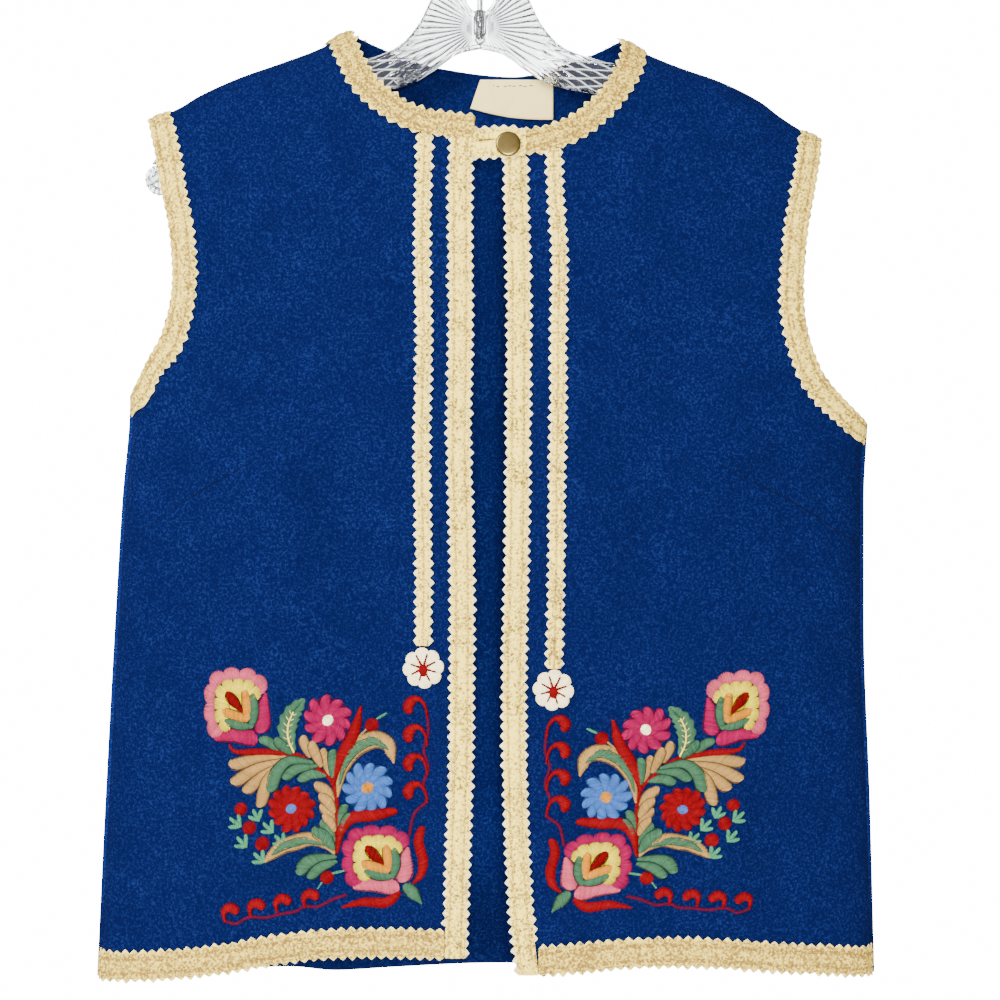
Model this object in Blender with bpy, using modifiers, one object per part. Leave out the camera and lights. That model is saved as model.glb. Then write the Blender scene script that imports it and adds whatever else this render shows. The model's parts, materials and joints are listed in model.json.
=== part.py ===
"""Folk vest of felted wool, hanging on a moulded hanger with a wire hook.

Sizes are in millimetres. X runs to the wearer's left, -Y is the front, +Z is
up, and the origin is the inside top of the hook, where a rail would hold it.

The body of the vest is one smooth form: at each height a superellipse whose
side seams lie on the outline, closed at the top by a rounded fold over the
hanger. Each piece of cloth is a wall on that form. A band, tab or flower is
laid on the facets of the panel that it is sewn to, and moved out.
"""
import math
from collections import namedtuple

import bmesh
import bpy
from mathutils import Vector
from mathutils.bvhtree import BVHTree

MM = 0.001

# ---------------------------------------------------------------- cloth sizes
WOOL = 2.5                 # wall of the blue panels
FELT = 1.6                 # wall of the cream bands
TAPE = 1.0                 # wall of the neck label
GAP = 0.3                  # between pieces that touch
TOOTH = 2.0                # height of a pinked tooth
PITCH = 6.2                # from one tooth to the next

NECK_BAND = 14.0           # widths between the roots of the teeth
ARMHOLE_BAND = 14.0
HEM_BAND = 16.0
CENTRE_BAND = 12.8
NARROW_BAND = 7.6

# ------------------------------------------------------------- form of the body
MID = 8.0                  # X of the line between the two halves
ROUNDNESS = 2.4            # exponent of the superellipse across the body
SHOULDER_FOLD = 120.0      # how far below the shoulder the fold runs out
FOLD_ROUNDNESS = 2.2
FRONT = -1
BACK = 1

Level = namedtuple("Level", "z right_side left_side front_depth back_depth")
BODY = (
    Level(-110, -233, 252, 31, 28),
    Level(-250, -231, 251, 35, 29),
    Level(-360, -225, 250, 37, 30),
    Level(-425, -230, 247, 37, 31),
    Level(-500, -234.5, 247, 35, 32),
    Level(-620, -241, 251, 34, 33),
    Level(-735, -246.5, 254, 35, 34),
)

Mark = namedtuple("Mark", "x z")
RIGHT_NECK_POINT = Mark(-84.5, -120.3)
LEFT_NECK_POINT = Mark(91.0, -125.5)
SHOULDER = (
    Mark(-240, -192), Mark(-214.5, -177.5), Mark(-195, -169), Mark(-182, -161.2),
    Mark(-156, -149.5), Mark(-130, -140.4), Mark(-104, -130.7), RIGHT_NECK_POINT,
    Mark(-40, -112), Mark(40, -113), LEFT_NECK_POINT, Mark(110.5, -135.2),
    Mark(130, -143), Mark(156, -152.1), Mark(182, -165.1), Mark(195, -174.9),
    Mark(208, -183.3), Mark(221, -190.5), Mark(250, -206),
)
SHOULDER_SLOPE = 0.42                  # its fall, for each step across
RIGHT_NECK = (
    RIGHT_NECK_POINT, Mark(-81.4, -127.1), Mark(-75.1, -141.7), Mark(-66.3, -155.8),
    Mark(-50.1, -169.4), Mark(-35.4, -176.1), Mark(-18.8, -178.6), Mark(-2.9, -180.8),
)
LEFT_NECK = (
    LEFT_NECK_POINT, Mark(92.4, -133.9), Mark(90.2, -142.5), Mark(83.4, -155.8),
    Mark(72.3, -169.4), Mark(55.6, -182.2), Mark(35.3, -188.8), Mark(14.5, -191.0),
)
BACK_NECK = (
    RIGHT_NECK_POINT, Mark(-61, -130), Mark(-29, -140.4), Mark(22, -146.2),
    Mark(70, -134), LEFT_NECK_POINT,
)
RIGHT_ARMHOLE = (
    Mark(-214.5, -177.5), Mark(-208.4, -202.2), Mark(-202.5, -231.8),
    Mark(-198.4, -251.3), Mark(-196.2, -280.3), Mark(-198.1, -299.5),
    Mark(-203.6, -318.6), Mark(-209.5, -328.8), Mark(-215, -338.3), Mark(-220, -347.8),
    Mark(-223.9, -354.3), Mark(-225, -356.5),
)
LEFT_ARMHOLE = (
    Mark(220.5, -190.2), Mark(219.0, -203), Mark(215.4, -221.8), Mark(209.8, -251.2),
    Mark(206.9, -280.3), Mark(207.0, -301), Mark(210.2, -320), Mark(216.5, -337.8),
    Mark(222.2, -347.3), Mark(231, -357.3), Mark(241, -366.8), Mark(247.8, -372.8),
    Mark(250, -374.8),
)
RIGHT_OPENING = (
    Mark(-2.9, -180.8), Mark(-5, -200), Mark(-6, -234), Mark(-5.6, -310),
    Mark(-6.6, -386), Mark(-4.8, -462), Mark(-4.8, -530), Mark(-5.6, -596),
    Mark(-8, -672), Mark(-9.2, -715.4),
)
LEFT_OPENING = (
    Mark(14.5, -191.0), Mark(16.6, -210), Mark(16.9, -234), Mark(18.5, -290),
    Mark(18.1, -386), Mark(17.2, -462), Mark(15.6, -530), Mark(16, -596),
    Mark(19, -672), Mark(24.5, -726.2),
)
RIGHT_HEM = (
    Mark(-246.5, -733), Mark(-228.6, -732.4), Mark(-194.8, -729.5), Mark(-162.3, -725),
    Mark(-130.1, -719.3), Mark(-98.2, -715.6), Mark(-66.4, -714.2), Mark(-34.6, -714.5),
    Mark(-9.2, -715.4),
)
LEFT_HEM = (
    Mark(254, -730.5), Mark(238.5, -729.2), Mark(220.8, -727.2), Mark(188.3, -724.8),
    Mark(156.1, -721.8), Mark(124.2, -720.4), Mark(92.4, -721.1), Mark(60.6, -724),
    Mark(24.5, -726.2),
)
BACK_HEM = (
    Mark(-246.5, -733), Mark(-190, -733.5), Mark(-126, -733), Mark(-96, -735.6),
    Mark(-60, -734), Mark(13, -731), Mark(120, -732), Mark(200, -731), Mark(254, -730.5),
)

Swell = namedtuple("Swell", "face x z height spread")
SWELLS = (                              # cloth pushed out at the tips of the darts
    Swell(FRONT, -121, -395, 8, 46),
    Swell(FRONT, 129, -400, 8, 46),
    Swell(BACK, -95, -255, 4, 55),
    Swell(BACK, 105, -260, 4, 55),
)
Fold = namedtuple("Fold", "face z_top z_low x_top x_mid x_low half_width depth")
FOLDS = (                               # soft troughs, as the cloth hangs
    Fold(FRONT, -240, -560, -150, -92, -62, 26, 5.0),
    Fold(FRONT, -235, -560, 134, 118, 92, 26, 5.0),
    Fold(FRONT, -520, -735, 186, 190, 188, 17, 3.0),
    Fold(FRONT, -410, -540, -176, -175, -178, 16, 2.0),
    Fold(FRONT, -600, -760, -150, -110, -90, 32, 3.0),
    Fold(BACK, -260, -760, -70, -92, -98, 30, 4.0),
    Fold(BACK, -270, -745, 88, 104, 118, 28, 4.0),
    Fold(BACK, -480, -750, 10, 14, 8, 34, 3.0),
)

# ------------------------------------------------------------------- the sheets
FOLD_ROWS = (0.0, 1.2, 4.5, 11.0)      # rows near the shoulder, by drop
NECK_ROWS = 5
ARMHOLE_ROWS = 6
SIDE_ROWS = 11
FRONT_COLUMNS = 13
BACK_ARMHOLE_ROWS = 8
BACK_SIDE_ROWS = 9
BACK_NECK_COLUMNS = 8
BACK_SHOULDER_COLUMNS = 6
SIDE_CROWDING = 1.25                   # columns stand closer near the side seam
ARMHOLE_AT_CORNER = 0.34               # share of the armhole level with the neck's corner

# ------------------------------------------------------------------- sewn pieces
RIGHT_NARROW = (Mark(-33.2, -195), Mark(-32.6, -310), Mark(-33.2, -420), Mark(-33.0, -515.8))
LEFT_NARROW = (Mark(44.6, -204.5), Mark(46.3, -290), Mark(44.6, -400), Mark(43.4, -530.4))
LEFT_CENTRE_TOP = -208.0
RIGHT_FLOWER = Mark(-36.6, -529.3)
LEFT_FLOWER = Mark(46.8, -543.9)
FLOWER_RADIUS = 12.6
FLOWER_PETALS = 8
PETAL_POINTS = 6
PETAL_NOTCH = 0.13
FLOWER_SLACK = 0.15                    # the flat flower stands a little off the curved cloth

TAB_LEFT = -1.6
TAB_RIGHT = 27.0
TAB_MID_Z = -198.6
TAB_HALF = 8.3
TAB_ROUND_FROM = 0.72                  # share of its length where the end rounds off
TAB_BLUNT = 0.45                       # height of its very end, as a share
TAB_UNDER = -FELT - 0.1                # lift of its inner side where it starts
TAB_OVER = FELT + GAP + 0.45           # and over the felt of the other front
TAB_CLIMB_FROM = 1.0
TAB_CLIMB_TO = 12.5
TAB_COLUMNS = 10
TAB_ROWS = 6
BUTTON_AT = (18.1, -199.2)
Turned = namedtuple("Turned", "radius height")
BUTTON_PROFILE = (
    Turned(0, 4.2), Turned(4.2, 3.7), Turned(6.6, 2.7), Turned(7.6, 2.5),
    Turned(8, 1.9), Turned(7.6, 1), Turned(0, 0.6),
)

LABEL_TOP = -148.5
LABEL_LEFT_TOP = 0.0
LABEL_LEFT_LOW = -6.5
LABEL_RIGHT = 48.0
LABEL_DROP_LEFT = 18.5
LABEL_DROP_RIGHT = 25.5
LABEL_BELLY = 2.5                      # how far its lower edge sags
LABEL_LEAN = 1.2                       # how far it leans in from the back
LABEL_COLUMNS = 6
LABEL_ROWS = 3

# ---------------------------------------------------------------------- hanger
HANGER_HALF = 3.5                      # half its thickness
HANGER_ROUNDING = 3.2
HANGER_TOP = (                         # right half, from the top down the arm
    Mark(0, -70), Mark(10, -71.5), Mark(22, -79), Mark(28.5, -90), Mark(32.5, -100),
    Mark(41.6, -117.5), Mark(56.6, -131.5), Mark(87, -140.8), Mark(112, -143.4),
    Mark(136, -149.4), Mark(160, -158.6), Mark(182, -171), Mark(199, -187), Mark(213, -206),
)
HANGER_KNOB = Mark(207.5, -216.5)
KNOB_RADIUS = 9.8
KNOB_FROM_TURN = 50                    # degrees from the right, where its arc starts
KNOB_TURN = 210
KNOB_STEPS = 8
HANGER_LOW = (                         # back along the arm to the arch
    Mark(197.5, -207), Mark(184, -190), Mark(158, -177), Mark(130, -169),
    Mark(100, -164.5), Mark(77, -161.4), Mark(47.5, -155), Mark(30, -145.6),
    Mark(15, -135.2), Mark(0, -131.5),
)
WINDOW_HALF_WIDTH = 9.6
WINDOW_HALF_HEIGHT = 13.0
WINDOW_Z = -95.0
SLEEVE_RADIUS = 4.8
SLEEVE_TOP = -106.0
SLEEVE_LOW = -129.0
WIRE_RADIUS = 1.9
HOOK_INSIDE = 20.0
STEM_LOW = -125.0
HOOK_TIP_TURN = 205.0                  # degrees round from the right, over the top
HOOK_START_TURN = -52.0


def table_value(rows, key, value, at):
    """Read a column of a table at a height, smoothly between its rows."""
    rows = sorted(rows, key=lambda row: getattr(row, key))
    keys = [getattr(row, key) for row in rows]
    values = [getattr(row, value) for row in rows]
    last = len(keys) - 1
    if at <= keys[0]:
        return values[0] + (at - keys[0]) * (values[1] - values[0]) / (keys[1] - keys[0])
    if at >= keys[last]:
        run = keys[last] - keys[last - 1]
        return values[last] + (at - keys[last]) * (values[last] - values[last - 1]) / run
    i = max(n for n in range(last) if keys[n] <= at)
    run = keys[i + 1] - keys[i]
    rise = (values[i + 1] - values[i]) / run
    before = (values[i] - values[i - 1]) / (keys[i] - keys[i - 1]) if i else rise
    after = (values[i + 2] - values[i + 1]) / (keys[i + 2] - keys[i + 1]) if i + 2 <= last else rise
    start_slope = 0.0 if before * rise <= 0 else 2 * before * rise / (before + rise)
    end_slope = 0.0 if after * rise <= 0 else 2 * after * rise / (after + rise)
    t = (at - keys[i]) / run
    return (values[i] * (1 + 2 * t) * (1 - t) ** 2 + values[i + 1] * t * t * (3 - 2 * t)
            + run * (start_slope * t * (1 - t) ** 2 - end_slope * t * t * (1 - t)))


def shoulder_z(x):
    """Height of the fold over the shoulders at a place across the body."""
    return table_value(SHOULDER, "x", "z", x)


def half_width(side, z):
    """Distance from the middle line to the side seam; side is -1 or 1."""
    column = "left_side" if side > 0 else "right_side"
    return abs(table_value(BODY, "z", column, z) - MID)


def half_depth(face, z):
    """Distance from the seams to the middle of the front or the back."""
    return table_value(BODY, "z", "front_depth" if face == FRONT else "back_depth", z)


def shoulder_rise(drop):
    """Share of the full depth that the fold has reached below the shoulder."""
    left = 1 - min(max(drop, 0.0) / SHOULDER_FOLD, 1.0)
    return (1 - left ** FOLD_ROUNDNESS) ** (1 / FOLD_ROUNDNESS)


def swell(face, x, z):
    """How far folds and dart tips move the cloth out, in or at all."""
    out = 0.0
    for bump in SWELLS:
        if bump.face == face:
            reach = math.hypot(x - bump.x, z - bump.z) / bump.spread
            out += bump.height * math.exp(-reach * reach)
    for fold in FOLDS:
        along = (fold.z_top - z) / (fold.z_top - fold.z_low)
        if fold.face == face and 0 < along < 1:
            line = (fold.x_top * (1 - along) ** 2 + fold.x_low * along ** 2
                    + 2 * along * (1 - along) * (2 * fold.x_mid - (fold.x_top + fold.x_low) / 2))
            reach = (x - line) / fold.half_width
            out -= fold.depth * math.sin(math.pi * along) ** 0.7 * math.exp(-reach * reach)
    across = min(abs(x - MID) / half_width(math.copysign(1, x - MID), z), 1.0)
    return out * (1 - across ** 6) * shoulder_rise(shoulder_z(x) - z)


def section_arcs(steps=180, width=240.0, depth=35.0):
    """Arc length round a quarter of the section, by angle, as shares of 1."""
    power = 2 / ROUNDNESS
    arcs = [0.0]
    last = Vector((0, depth))
    for i in range(1, steps + 1):
        angle = math.pi / 2 * i / steps
        point = Vector((width * math.sin(angle) ** power,
                        depth * max(math.cos(angle), 0.0) ** power))
        arcs.append(arcs[-1] + (point - last).length)
        last = point
    return [arc / arcs[-1] for arc in arcs]


ARCS = section_arcs()


def angle_of(girth):
    """Angle round the section at a share of the way from the middle to the seam."""
    share = min(abs(girth), 1.0)
    i = max(n for n in range(len(ARCS) - 1) if ARCS[n] <= share)
    part = (share - ARCS[i]) / (ARCS[i + 1] - ARCS[i])
    return math.copysign(math.pi / 2 * (i + part) / (len(ARCS) - 1), girth)


def girth_of(angle):
    """Share of the way round to the seam at an angle; the inverse of angle_of."""
    place = min(abs(angle) / (math.pi / 2), 1.0) * (len(ARCS) - 1)
    i = min(int(place), len(ARCS) - 2)
    return math.copysign(ARCS[i] + (place - i) * (ARCS[i + 1] - ARCS[i]), angle)


def girth_at(x, z):
    """Girth share of a place across the body, at a height."""
    side = math.copysign(1, x - MID)
    share = min(abs(x - MID) / half_width(side, z), 1.0)
    return girth_of(side * math.asin(share ** (ROUNDNESS / 2)))


def form_point(face, girth, z):
    """A point on the outside of the cloth."""
    angle = angle_of(girth)
    side = math.copysign(1, angle)
    power = 2 / ROUNDNESS
    x = MID + side * half_width(side, z) * abs(math.sin(angle)) ** power
    rise = shoulder_rise(shoulder_z(x) - z)
    out = half_depth(face, z) * rise * max(math.cos(angle), 0.0) ** power
    if abs(girth) >= 1:
        out = 0.0
    return Vector((x, face * (GAP / 2 + out + swell(face, x, z)), z))


def form_normal(face, girth, z):
    """The outward direction of the cloth, square to the seams where it meets them."""
    step = 0.004
    rise = 0.4
    low, high = max(girth - step, -1.0), min(girth + step, 1.0)
    point = form_point(face, girth, z)
    drop = shoulder_z(point.x) - z
    up = min(rise, max(drop, 0.0))
    round_body = form_point(face, high, z) - form_point(face, low, z)
    upward = form_point(face, girth, z + up) - form_point(face, girth, z - rise)
    normal = round_body.cross(upward).normalized()
    if normal.y * face < 0:
        normal = -normal
    if abs(girth) >= 0.9999 or drop < 0.05:
        normal.y = 0.0
        if normal.length < 1e-6:
            normal = Vector((0, 0, 1))
        if drop < 0.05 and normal.z < 0:
            normal = -normal
        if abs(girth) >= 0.9999 and normal.x * girth < 0:
            normal = -normal
        normal.normalize()
    return normal


def locate(face, point):
    """Girth share and height of a point that lies close to the form."""
    side = math.copysign(1, point.x - MID)
    across = abs(point.x - MID) / half_width(side, point.z)
    by_width = math.asin(min(across, 1.0) ** (ROUNDNESS / 2))
    rise = shoulder_rise(shoulder_z(point.x) - point.z)
    deep = half_depth(face, point.z) * max(rise, 0.05)
    out = max(point.y * face - GAP / 2 - swell(face, point.x, point.z), 0.0) / deep
    by_both = math.atan2(across ** (ROUNDNESS / 2), max(out, 1e-6) ** (ROUNDNESS / 2))
    near_side = min(max((across - 0.75) / 0.15, 0.0), 1.0)
    below_fold = min(max(shoulder_z(point.x) - point.z, 0.0) / 40.0, 1.0)
    share = near_side * below_fold
    return girth_of(side * (by_width * (1 - share) + by_both * share)), point.z


def smooth_line(points, spacing=1.0, least=6):
    """A smooth curve through (x, z) points, with at least some steps between two."""
    line = []
    padded = [points[0]] + list(points) + [points[-1]]
    for i in range(1, len(padded) - 2):
        p0, p1, p2, p3 = (Vector(p) for p in padded[i - 1:i + 3])
        steps = max(round((p2 - p1).length / spacing), least)
        for n in range(steps):
            t = n / steps
            line.append(0.5 * (2 * p1 + (p2 - p0) * t + (2 * p0 - 5 * p1 + 4 * p2 - p3) * t * t
                               + (3 * p1 - p0 - 3 * p2 + p3) * t ** 3))
    line.append(Vector(points[-1]))
    return line


class Edge:
    """A smooth edge on one face of the body, read by its true length."""

    def __init__(self, face, marks):
        self.face = face
        self.places = [Vector((girth_at(p.x, p.y), p.y)) for p in smooth_line(marks)]
        points = [form_point(face, *place) for place in self.places]
        self.lengths = [0.0]
        for before, after in zip(points, points[1:]):
            self.lengths.append(self.lengths[-1] + (after - before).length)
        self.length = self.lengths[-1]

    def at(self, length):
        """Girth share and height at a length along the edge."""
        length = min(max(length, 0.0), self.length)
        i = max(n for n in range(len(self.lengths) - 1) if self.lengths[n] <= length)
        part = (length - self.lengths[i]) / (self.lengths[i + 1] - self.lengths[i])
        return self.places[i].lerp(self.places[i + 1], min(part, 1.0))

    def to_x(self, x):
        """Length at which the edge first passes a place across the body."""
        sides = [form_point(self.face, *place).x - x for place in self.places]
        for i, (before, after) in enumerate(zip(sides, sides[1:])):
            if before * after <= 0 and before != after:
                step = self.lengths[i + 1] - self.lengths[i]
                return self.lengths[i] + step * before / (before - after)
        return self.length


def new_object(name, mesh, colour, roughness, metallic=0.0, alpha=1.0):
    """Link a mesh into the vest's collection with a material of its own."""
    obj = bpy.data.objects.new(name, mesh)
    PARTS.objects.link(obj)
    material = bpy.data.materials.new(name + "_material")
    material.use_nodes = True
    shader = material.node_tree.nodes["Principled BSDF"]
    shader.inputs["Base Color"].default_value = (*colour, 1.0)
    shader.inputs["Roughness"].default_value = roughness
    shader.inputs["Metallic"].default_value = metallic
    shader.inputs["Alpha"].default_value = alpha
    obj.data.materials.append(material)
    return obj


BLUE = (0.004, 0.027, 0.14)
CREAM = (0.74, 0.62, 0.41)
WHITE = (0.82, 0.78, 0.68)
TAPE_COLOUR = (0.72, 0.66, 0.5)
BRASS = (0.35, 0.27, 0.1)
PLASTIC = (0.9, 0.92, 0.95)
STEEL = (0.55, 0.55, 0.56)


def wall(name, sheet, place, colour, roughness=0.95):
    """Turn a flat sheet into a closed wall.

    place(u, v, outside) gives the point, in millimetres, of the sheet's own
    coordinates u and v on the outer or the inner side of the wall.
    """
    outer = list(sheet.verts)
    made = bmesh.ops.extrude_face_region(sheet, geom=sheet.faces[:], use_keep_orig=True)
    inner = [item for item in made["geom"] if isinstance(item, bmesh.types.BMVert)]
    for verts, outside in ((outer, True), (inner, False)):
        for vert in verts:
            vert.co = place(vert.co.x, vert.co.y, outside) * MM
    bmesh.ops.recalc_face_normals(sheet, faces=sheet.faces[:])
    bmesh.ops.triangulate(sheet, faces=sheet.faces[:])
    mesh = bpy.data.meshes.new(name)
    sheet.to_mesh(mesh)
    sheet.free()
    return new_object(name, mesh, colour, roughness)


def flat_grid(columns, rows):
    """A flat open grid whose corners stand at whole numbers."""
    sheet = bmesh.new()
    bmesh.ops.create_grid(sheet, x_segments=columns, y_segments=rows, size=0.5)
    for vert in sheet.verts:
        vert.co.x = round((vert.co.x + 0.5) * columns)
        vert.co.y = round((vert.co.y + 0.5) * rows)
    return sheet


class Panel:
    """One blue piece: a grid of places on the form, as facets and as a wall."""

    FACET_SAG = 1.3        # the most that a facet stands off the smooth form

    def __init__(self, name, face, places):
        self.face = face
        self.points = [[form_point(face, *place) for place in row] for row in places]
        self.normals = [[form_normal(face, *place) for place in row] for row in places]
        sheet = flat_grid(len(places[0]) - 1, len(places) - 1)
        mesh = wall(name, sheet, self.place, BLUE).data
        self.facets = BVHTree.FromPolygons([vert.co / MM for vert in mesh.vertices],
                                           [tuple(face.vertices) for face in mesh.polygons])

    def place(self, u, v, outside):
        """A corner of the wall, by its column and row."""
        column, row = int(round(u)), int(round(v))
        point = self.points[row][column]
        return point if outside else point - self.normals[row][column] * WOOL

    def height(self, point, normal, reach=8.0):
        """How far a point stands off the facets, or None past the panel's edge."""
        hit = self.facets.ray_cast(point + normal * reach, -normal, 2 * reach)
        return None if hit[0] is None else hit[3] - reach

    def seat(self, girth, z, lift):
        """A point on the facets, moved out by lift; on the form past the edge."""
        point = form_point(self.face, girth, z)
        normal = form_normal(self.face, girth, z)
        height = self.height(point, normal)
        if height is not None and abs(height) < self.FACET_SAG:
            point = point - normal * height
        return point + normal * lift


def front_places(neck, opening, armhole, side_hem_z, hem):
    """Grid of a front, in rows from the shoulder seam down to the hem."""
    neck_edge, opening_edge = Edge(FRONT, neck), Edge(FRONT, opening)
    arm_edge = Edge(FRONT, armhole)
    corner_arm = arm_edge.length * ARMHOLE_AT_CORNER
    underarm = arm_edge.at(arm_edge.length)
    side = math.copysign(1, underarm.x)
    pairs = [(neck_edge.at(drop), arm_edge.at(drop)) for drop in FOLD_ROWS]
    start = FOLD_ROWS[-1]
    for i in range(1, NECK_ROWS + 1):
        t = i / NECK_ROWS
        pairs.append((neck_edge.at(start + (neck_edge.length - start) * t),
                      arm_edge.at(start + (corner_arm - start) * t)))
    under_share = (underarm.y - opening[0].z) / (hem[-1].z - opening[0].z)
    for i in range(1, ARMHOLE_ROWS + 1):
        t = i / ARMHOLE_ROWS
        pairs.append((opening_edge.at(opening_edge.length * under_share * t),
                      arm_edge.at(corner_arm + (arm_edge.length - corner_arm) * t)))
    for i in range(1, SIDE_ROWS + 1):
        t = i / SIDE_ROWS
        share = under_share + (1 - under_share) * t
        pairs.append((opening_edge.at(opening_edge.length * share),
                      Vector((side, underarm.y + (side_hem_z - underarm.y) * t))))
    fold_last = len(FOLD_ROWS) - 1
    hem_first = fold_last + NECK_ROWS + ARMHOLE_ROWS
    top, low = pairs[0], pairs[-1]
    places = []
    for r, (inner, outer) in enumerate(pairs):
        top_part = min(max(1 - (r - fold_last) / NECK_ROWS, 0.0), 1.0)
        hem_part = max((r - hem_first) / SIDE_ROWS, 0.0) ** 2
        row = []
        for c in range(FRONT_COLUMNS + 1):
            s = 1 - (1 - c / FRONT_COLUMNS) ** SIDE_CROWDING
            girth, z = inner.lerp(outer, s)
            if 0 < c < FRONT_COLUMNS:
                x = form_point(FRONT, girth, z).x
                z += top_part * (shoulder_z(x) - top[0].lerp(top[1], s).y)
                z += hem_part * (table_value(hem, "x", "z", x) - low[0].lerp(low[1], s).y)
            row.append((girth, z))
        places.append(row)
    return places


def back_places():
    """Grid of the back, in rows from the neck and shoulders down to the hem."""
    edges = Edge(BACK, RIGHT_ARMHOLE), Edge(BACK, LEFT_ARMHOLE)
    unders = [edge.at(edge.length) for edge in edges]
    hems = BACK_HEM[0].z, BACK_HEM[-1].z
    pairs = [tuple(edge.at(drop) for edge in edges) for drop in FOLD_ROWS]
    start = FOLD_ROWS[-1]
    for i in range(1, BACK_ARMHOLE_ROWS + 1):
        t = i / BACK_ARMHOLE_ROWS
        pairs.append(tuple(edge.at(start + (edge.length - start) * t) for edge in edges))
    for i in range(1, BACK_SIDE_ROWS + 1):
        t = i / BACK_SIDE_ROWS
        pairs.append(tuple(Vector((math.copysign(1, under.x), under.y + (hem - under.y) * t))
                           for under, hem in zip(unders, hems)))
    ends = pairs[0][0].x, pairs[0][1].x
    necks = [girth_at(*mark) for mark in (RIGHT_NECK_POINT, LEFT_NECK_POINT)]
    shares = []
    for c in range(BACK_SHOULDER_COLUMNS):
        shares.append((necks[0] - ends[0]) * (c / BACK_SHOULDER_COLUMNS) ** SIDE_CROWDING)
    for c in range(BACK_NECK_COLUMNS):
        shares.append(necks[0] - ends[0] + (necks[1] - necks[0]) * c / BACK_NECK_COLUMNS)
    for c in range(BACK_SHOULDER_COLUMNS + 1):
        left = 1 - c / BACK_SHOULDER_COLUMNS
        shares.append(ends[1] - ends[0] - (ends[1] - necks[1]) * left ** SIDE_CROWDING)
    shares = [share / (ends[1] - ends[0]) for share in shares]

    def top_z(x):
        if RIGHT_NECK_POINT.x < x < LEFT_NECK_POINT.x:
            return table_value(BACK_NECK, "x", "z", x)
        return shoulder_z(x)

    fold_last = len(FOLD_ROWS) - 1
    under_row = fold_last + BACK_ARMHOLE_ROWS
    top, low = pairs[0], pairs[-1]
    places = []
    for r, (right, left) in enumerate(pairs):
        top_part = min(max(1 - (r - fold_last) / BACK_ARMHOLE_ROWS, 0.0), 1.0)
        hem_part = max((r - under_row) / BACK_SIDE_ROWS, 0.0) ** 2
        row = []
        for c, s in enumerate(shares):
            girth, z = right.lerp(left, s)
            if 0 < c < len(shares) - 1:
                x = form_point(BACK, girth, z).x
                z += top_part * (top_z(x) - top[0].lerp(top[1], s).y)
                z += hem_part * (table_value(BACK_HEM, "x", "z", x) - low[0].lerp(low[1], s).y)
            row.append((girth, z))
        places.append(row)
    return places


class Band:
    """A felt strip with pinked edges, laid along an edge of a panel.

    inset moves the strip in from the edge, turn is 1 or -1 for the side of
    the edge that the strip lies on, and start_across and end_across turn its
    ends, such as into a seam. bare holds stretches of the inner edge, as
    pairs of lengths, where it meets another band and has no teeth.
    """

    END_TURN = 14.0
    RAISE = 0.05
    MOST_RAISES = 50

    def __init__(self, name, panel, edge, width, turn, start=0.0, end=None, inset=0.0,
                 start_across=None, end_across=None, bare=()):
        self.name = name
        self.panel = panel
        end = edge.length if end is None else end
        self.half_teeth = 2 * max(round((end - start) / PITCH), 1)
        self.rows = []
        for i in range(self.half_teeth + 1):
            length = start + (end - start) * i / self.half_teeth
            across = self.across(edge, length, turn)
            for other, gap in ((start_across, length - start), (end_across, end - length)):
                if other is not None:
                    part = min(gap / self.END_TURN, 1.0)
                    across = other.normalized().lerp(across, part * part * (3 - 2 * part))
                    across.normalize()
            tip = TOOTH if i % 2 else 0.0
            inner_tip = 0.0 if any(a <= length <= b for a, b in bare) else tip
            base = form_point(panel.face, *edge.at(length))
            self.rows.append([locate(panel.face, base + across * reach)
                              for reach in (inset - tip, inset + width + inner_tip)])
        self.lifts = self.clear_lifts()

    def across(self, edge, length, turn):
        """Direction into the panel, square to the edge."""
        step = 1.5
        face = self.panel.face
        ahead = form_point(face, *edge.at(length + step))
        behind = form_point(face, *edge.at(length - step))
        normal = form_normal(face, *edge.at(length))
        return (normal.cross(ahead - behind) * turn).normalized()

    def clear_lifts(self):
        """Extra lift of each row, raised until the strip clears the panel's facets."""
        lifts = [0.0] * len(self.rows)
        corners = (0, 1, 2), (1, 3, 2), (0, 1, 3), (0, 3, 2)
        facets = [tuple(2 * i + n for n in three) for i in range(len(self.rows) - 1)
                  for three in corners]
        for _ in range(self.MOST_RAISES):
            under = [self.panel.seat(*place, GAP / 2 + lift)
                     for row, lift in zip(self.rows, lifts) for place in row]
            touching = BVHTree.FromPolygons(under, facets).overlap(self.panel.facets)
            if not touching:
                break
            for i in {pair[0] // len(corners) for pair in touching}:
                for row in range(max(i - 1, 0), min(i + 3, len(lifts))):
                    lifts[row] = min(lifts[row] + self.RAISE, self.RAISE * self.MOST_RAISES)
        return lifts

    def place(self, u, v, outside):
        """A corner of the strip, by its edge and row."""
        row = int(round(v))
        lift = GAP + self.lifts[row] + (FELT if outside else 0.0)
        return self.panel.seat(*self.rows[row][int(round(u))], lift)

    def build(self):
        """Make the strip's wall."""
        return wall(self.name, flat_grid(1, self.half_teeth), self.place, CREAM)


def build_flower(name, panel, x, z):
    """A felt flower: a flat disc with round petals, laid on a front."""
    sheet = bmesh.new()
    count = FLOWER_PETALS * PETAL_POINTS
    bmesh.ops.create_circle(sheet, cap_ends=True, cap_tris=True, segments=count, radius=1.0)
    for vert in sheet.verts:
        turn = math.atan2(vert.co.y, vert.co.x)
        lobe = abs(math.cos(turn * FLOWER_PETALS / 2)) ** 0.5
        radius = vert.co.xy.length * FLOWER_RADIUS * (1 - PETAL_NOTCH * (1 - lobe))
        vert.co = radius * math.cos(turn), radius * math.sin(turn), 0

    def place(u, v, outside):
        lift = GAP + FLOWER_SLACK + (FELT if outside else 0.0)
        return panel.seat(girth_at(x + u, z + v), z + v, lift)

    return wall(name, sheet, place, WHITE)


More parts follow.
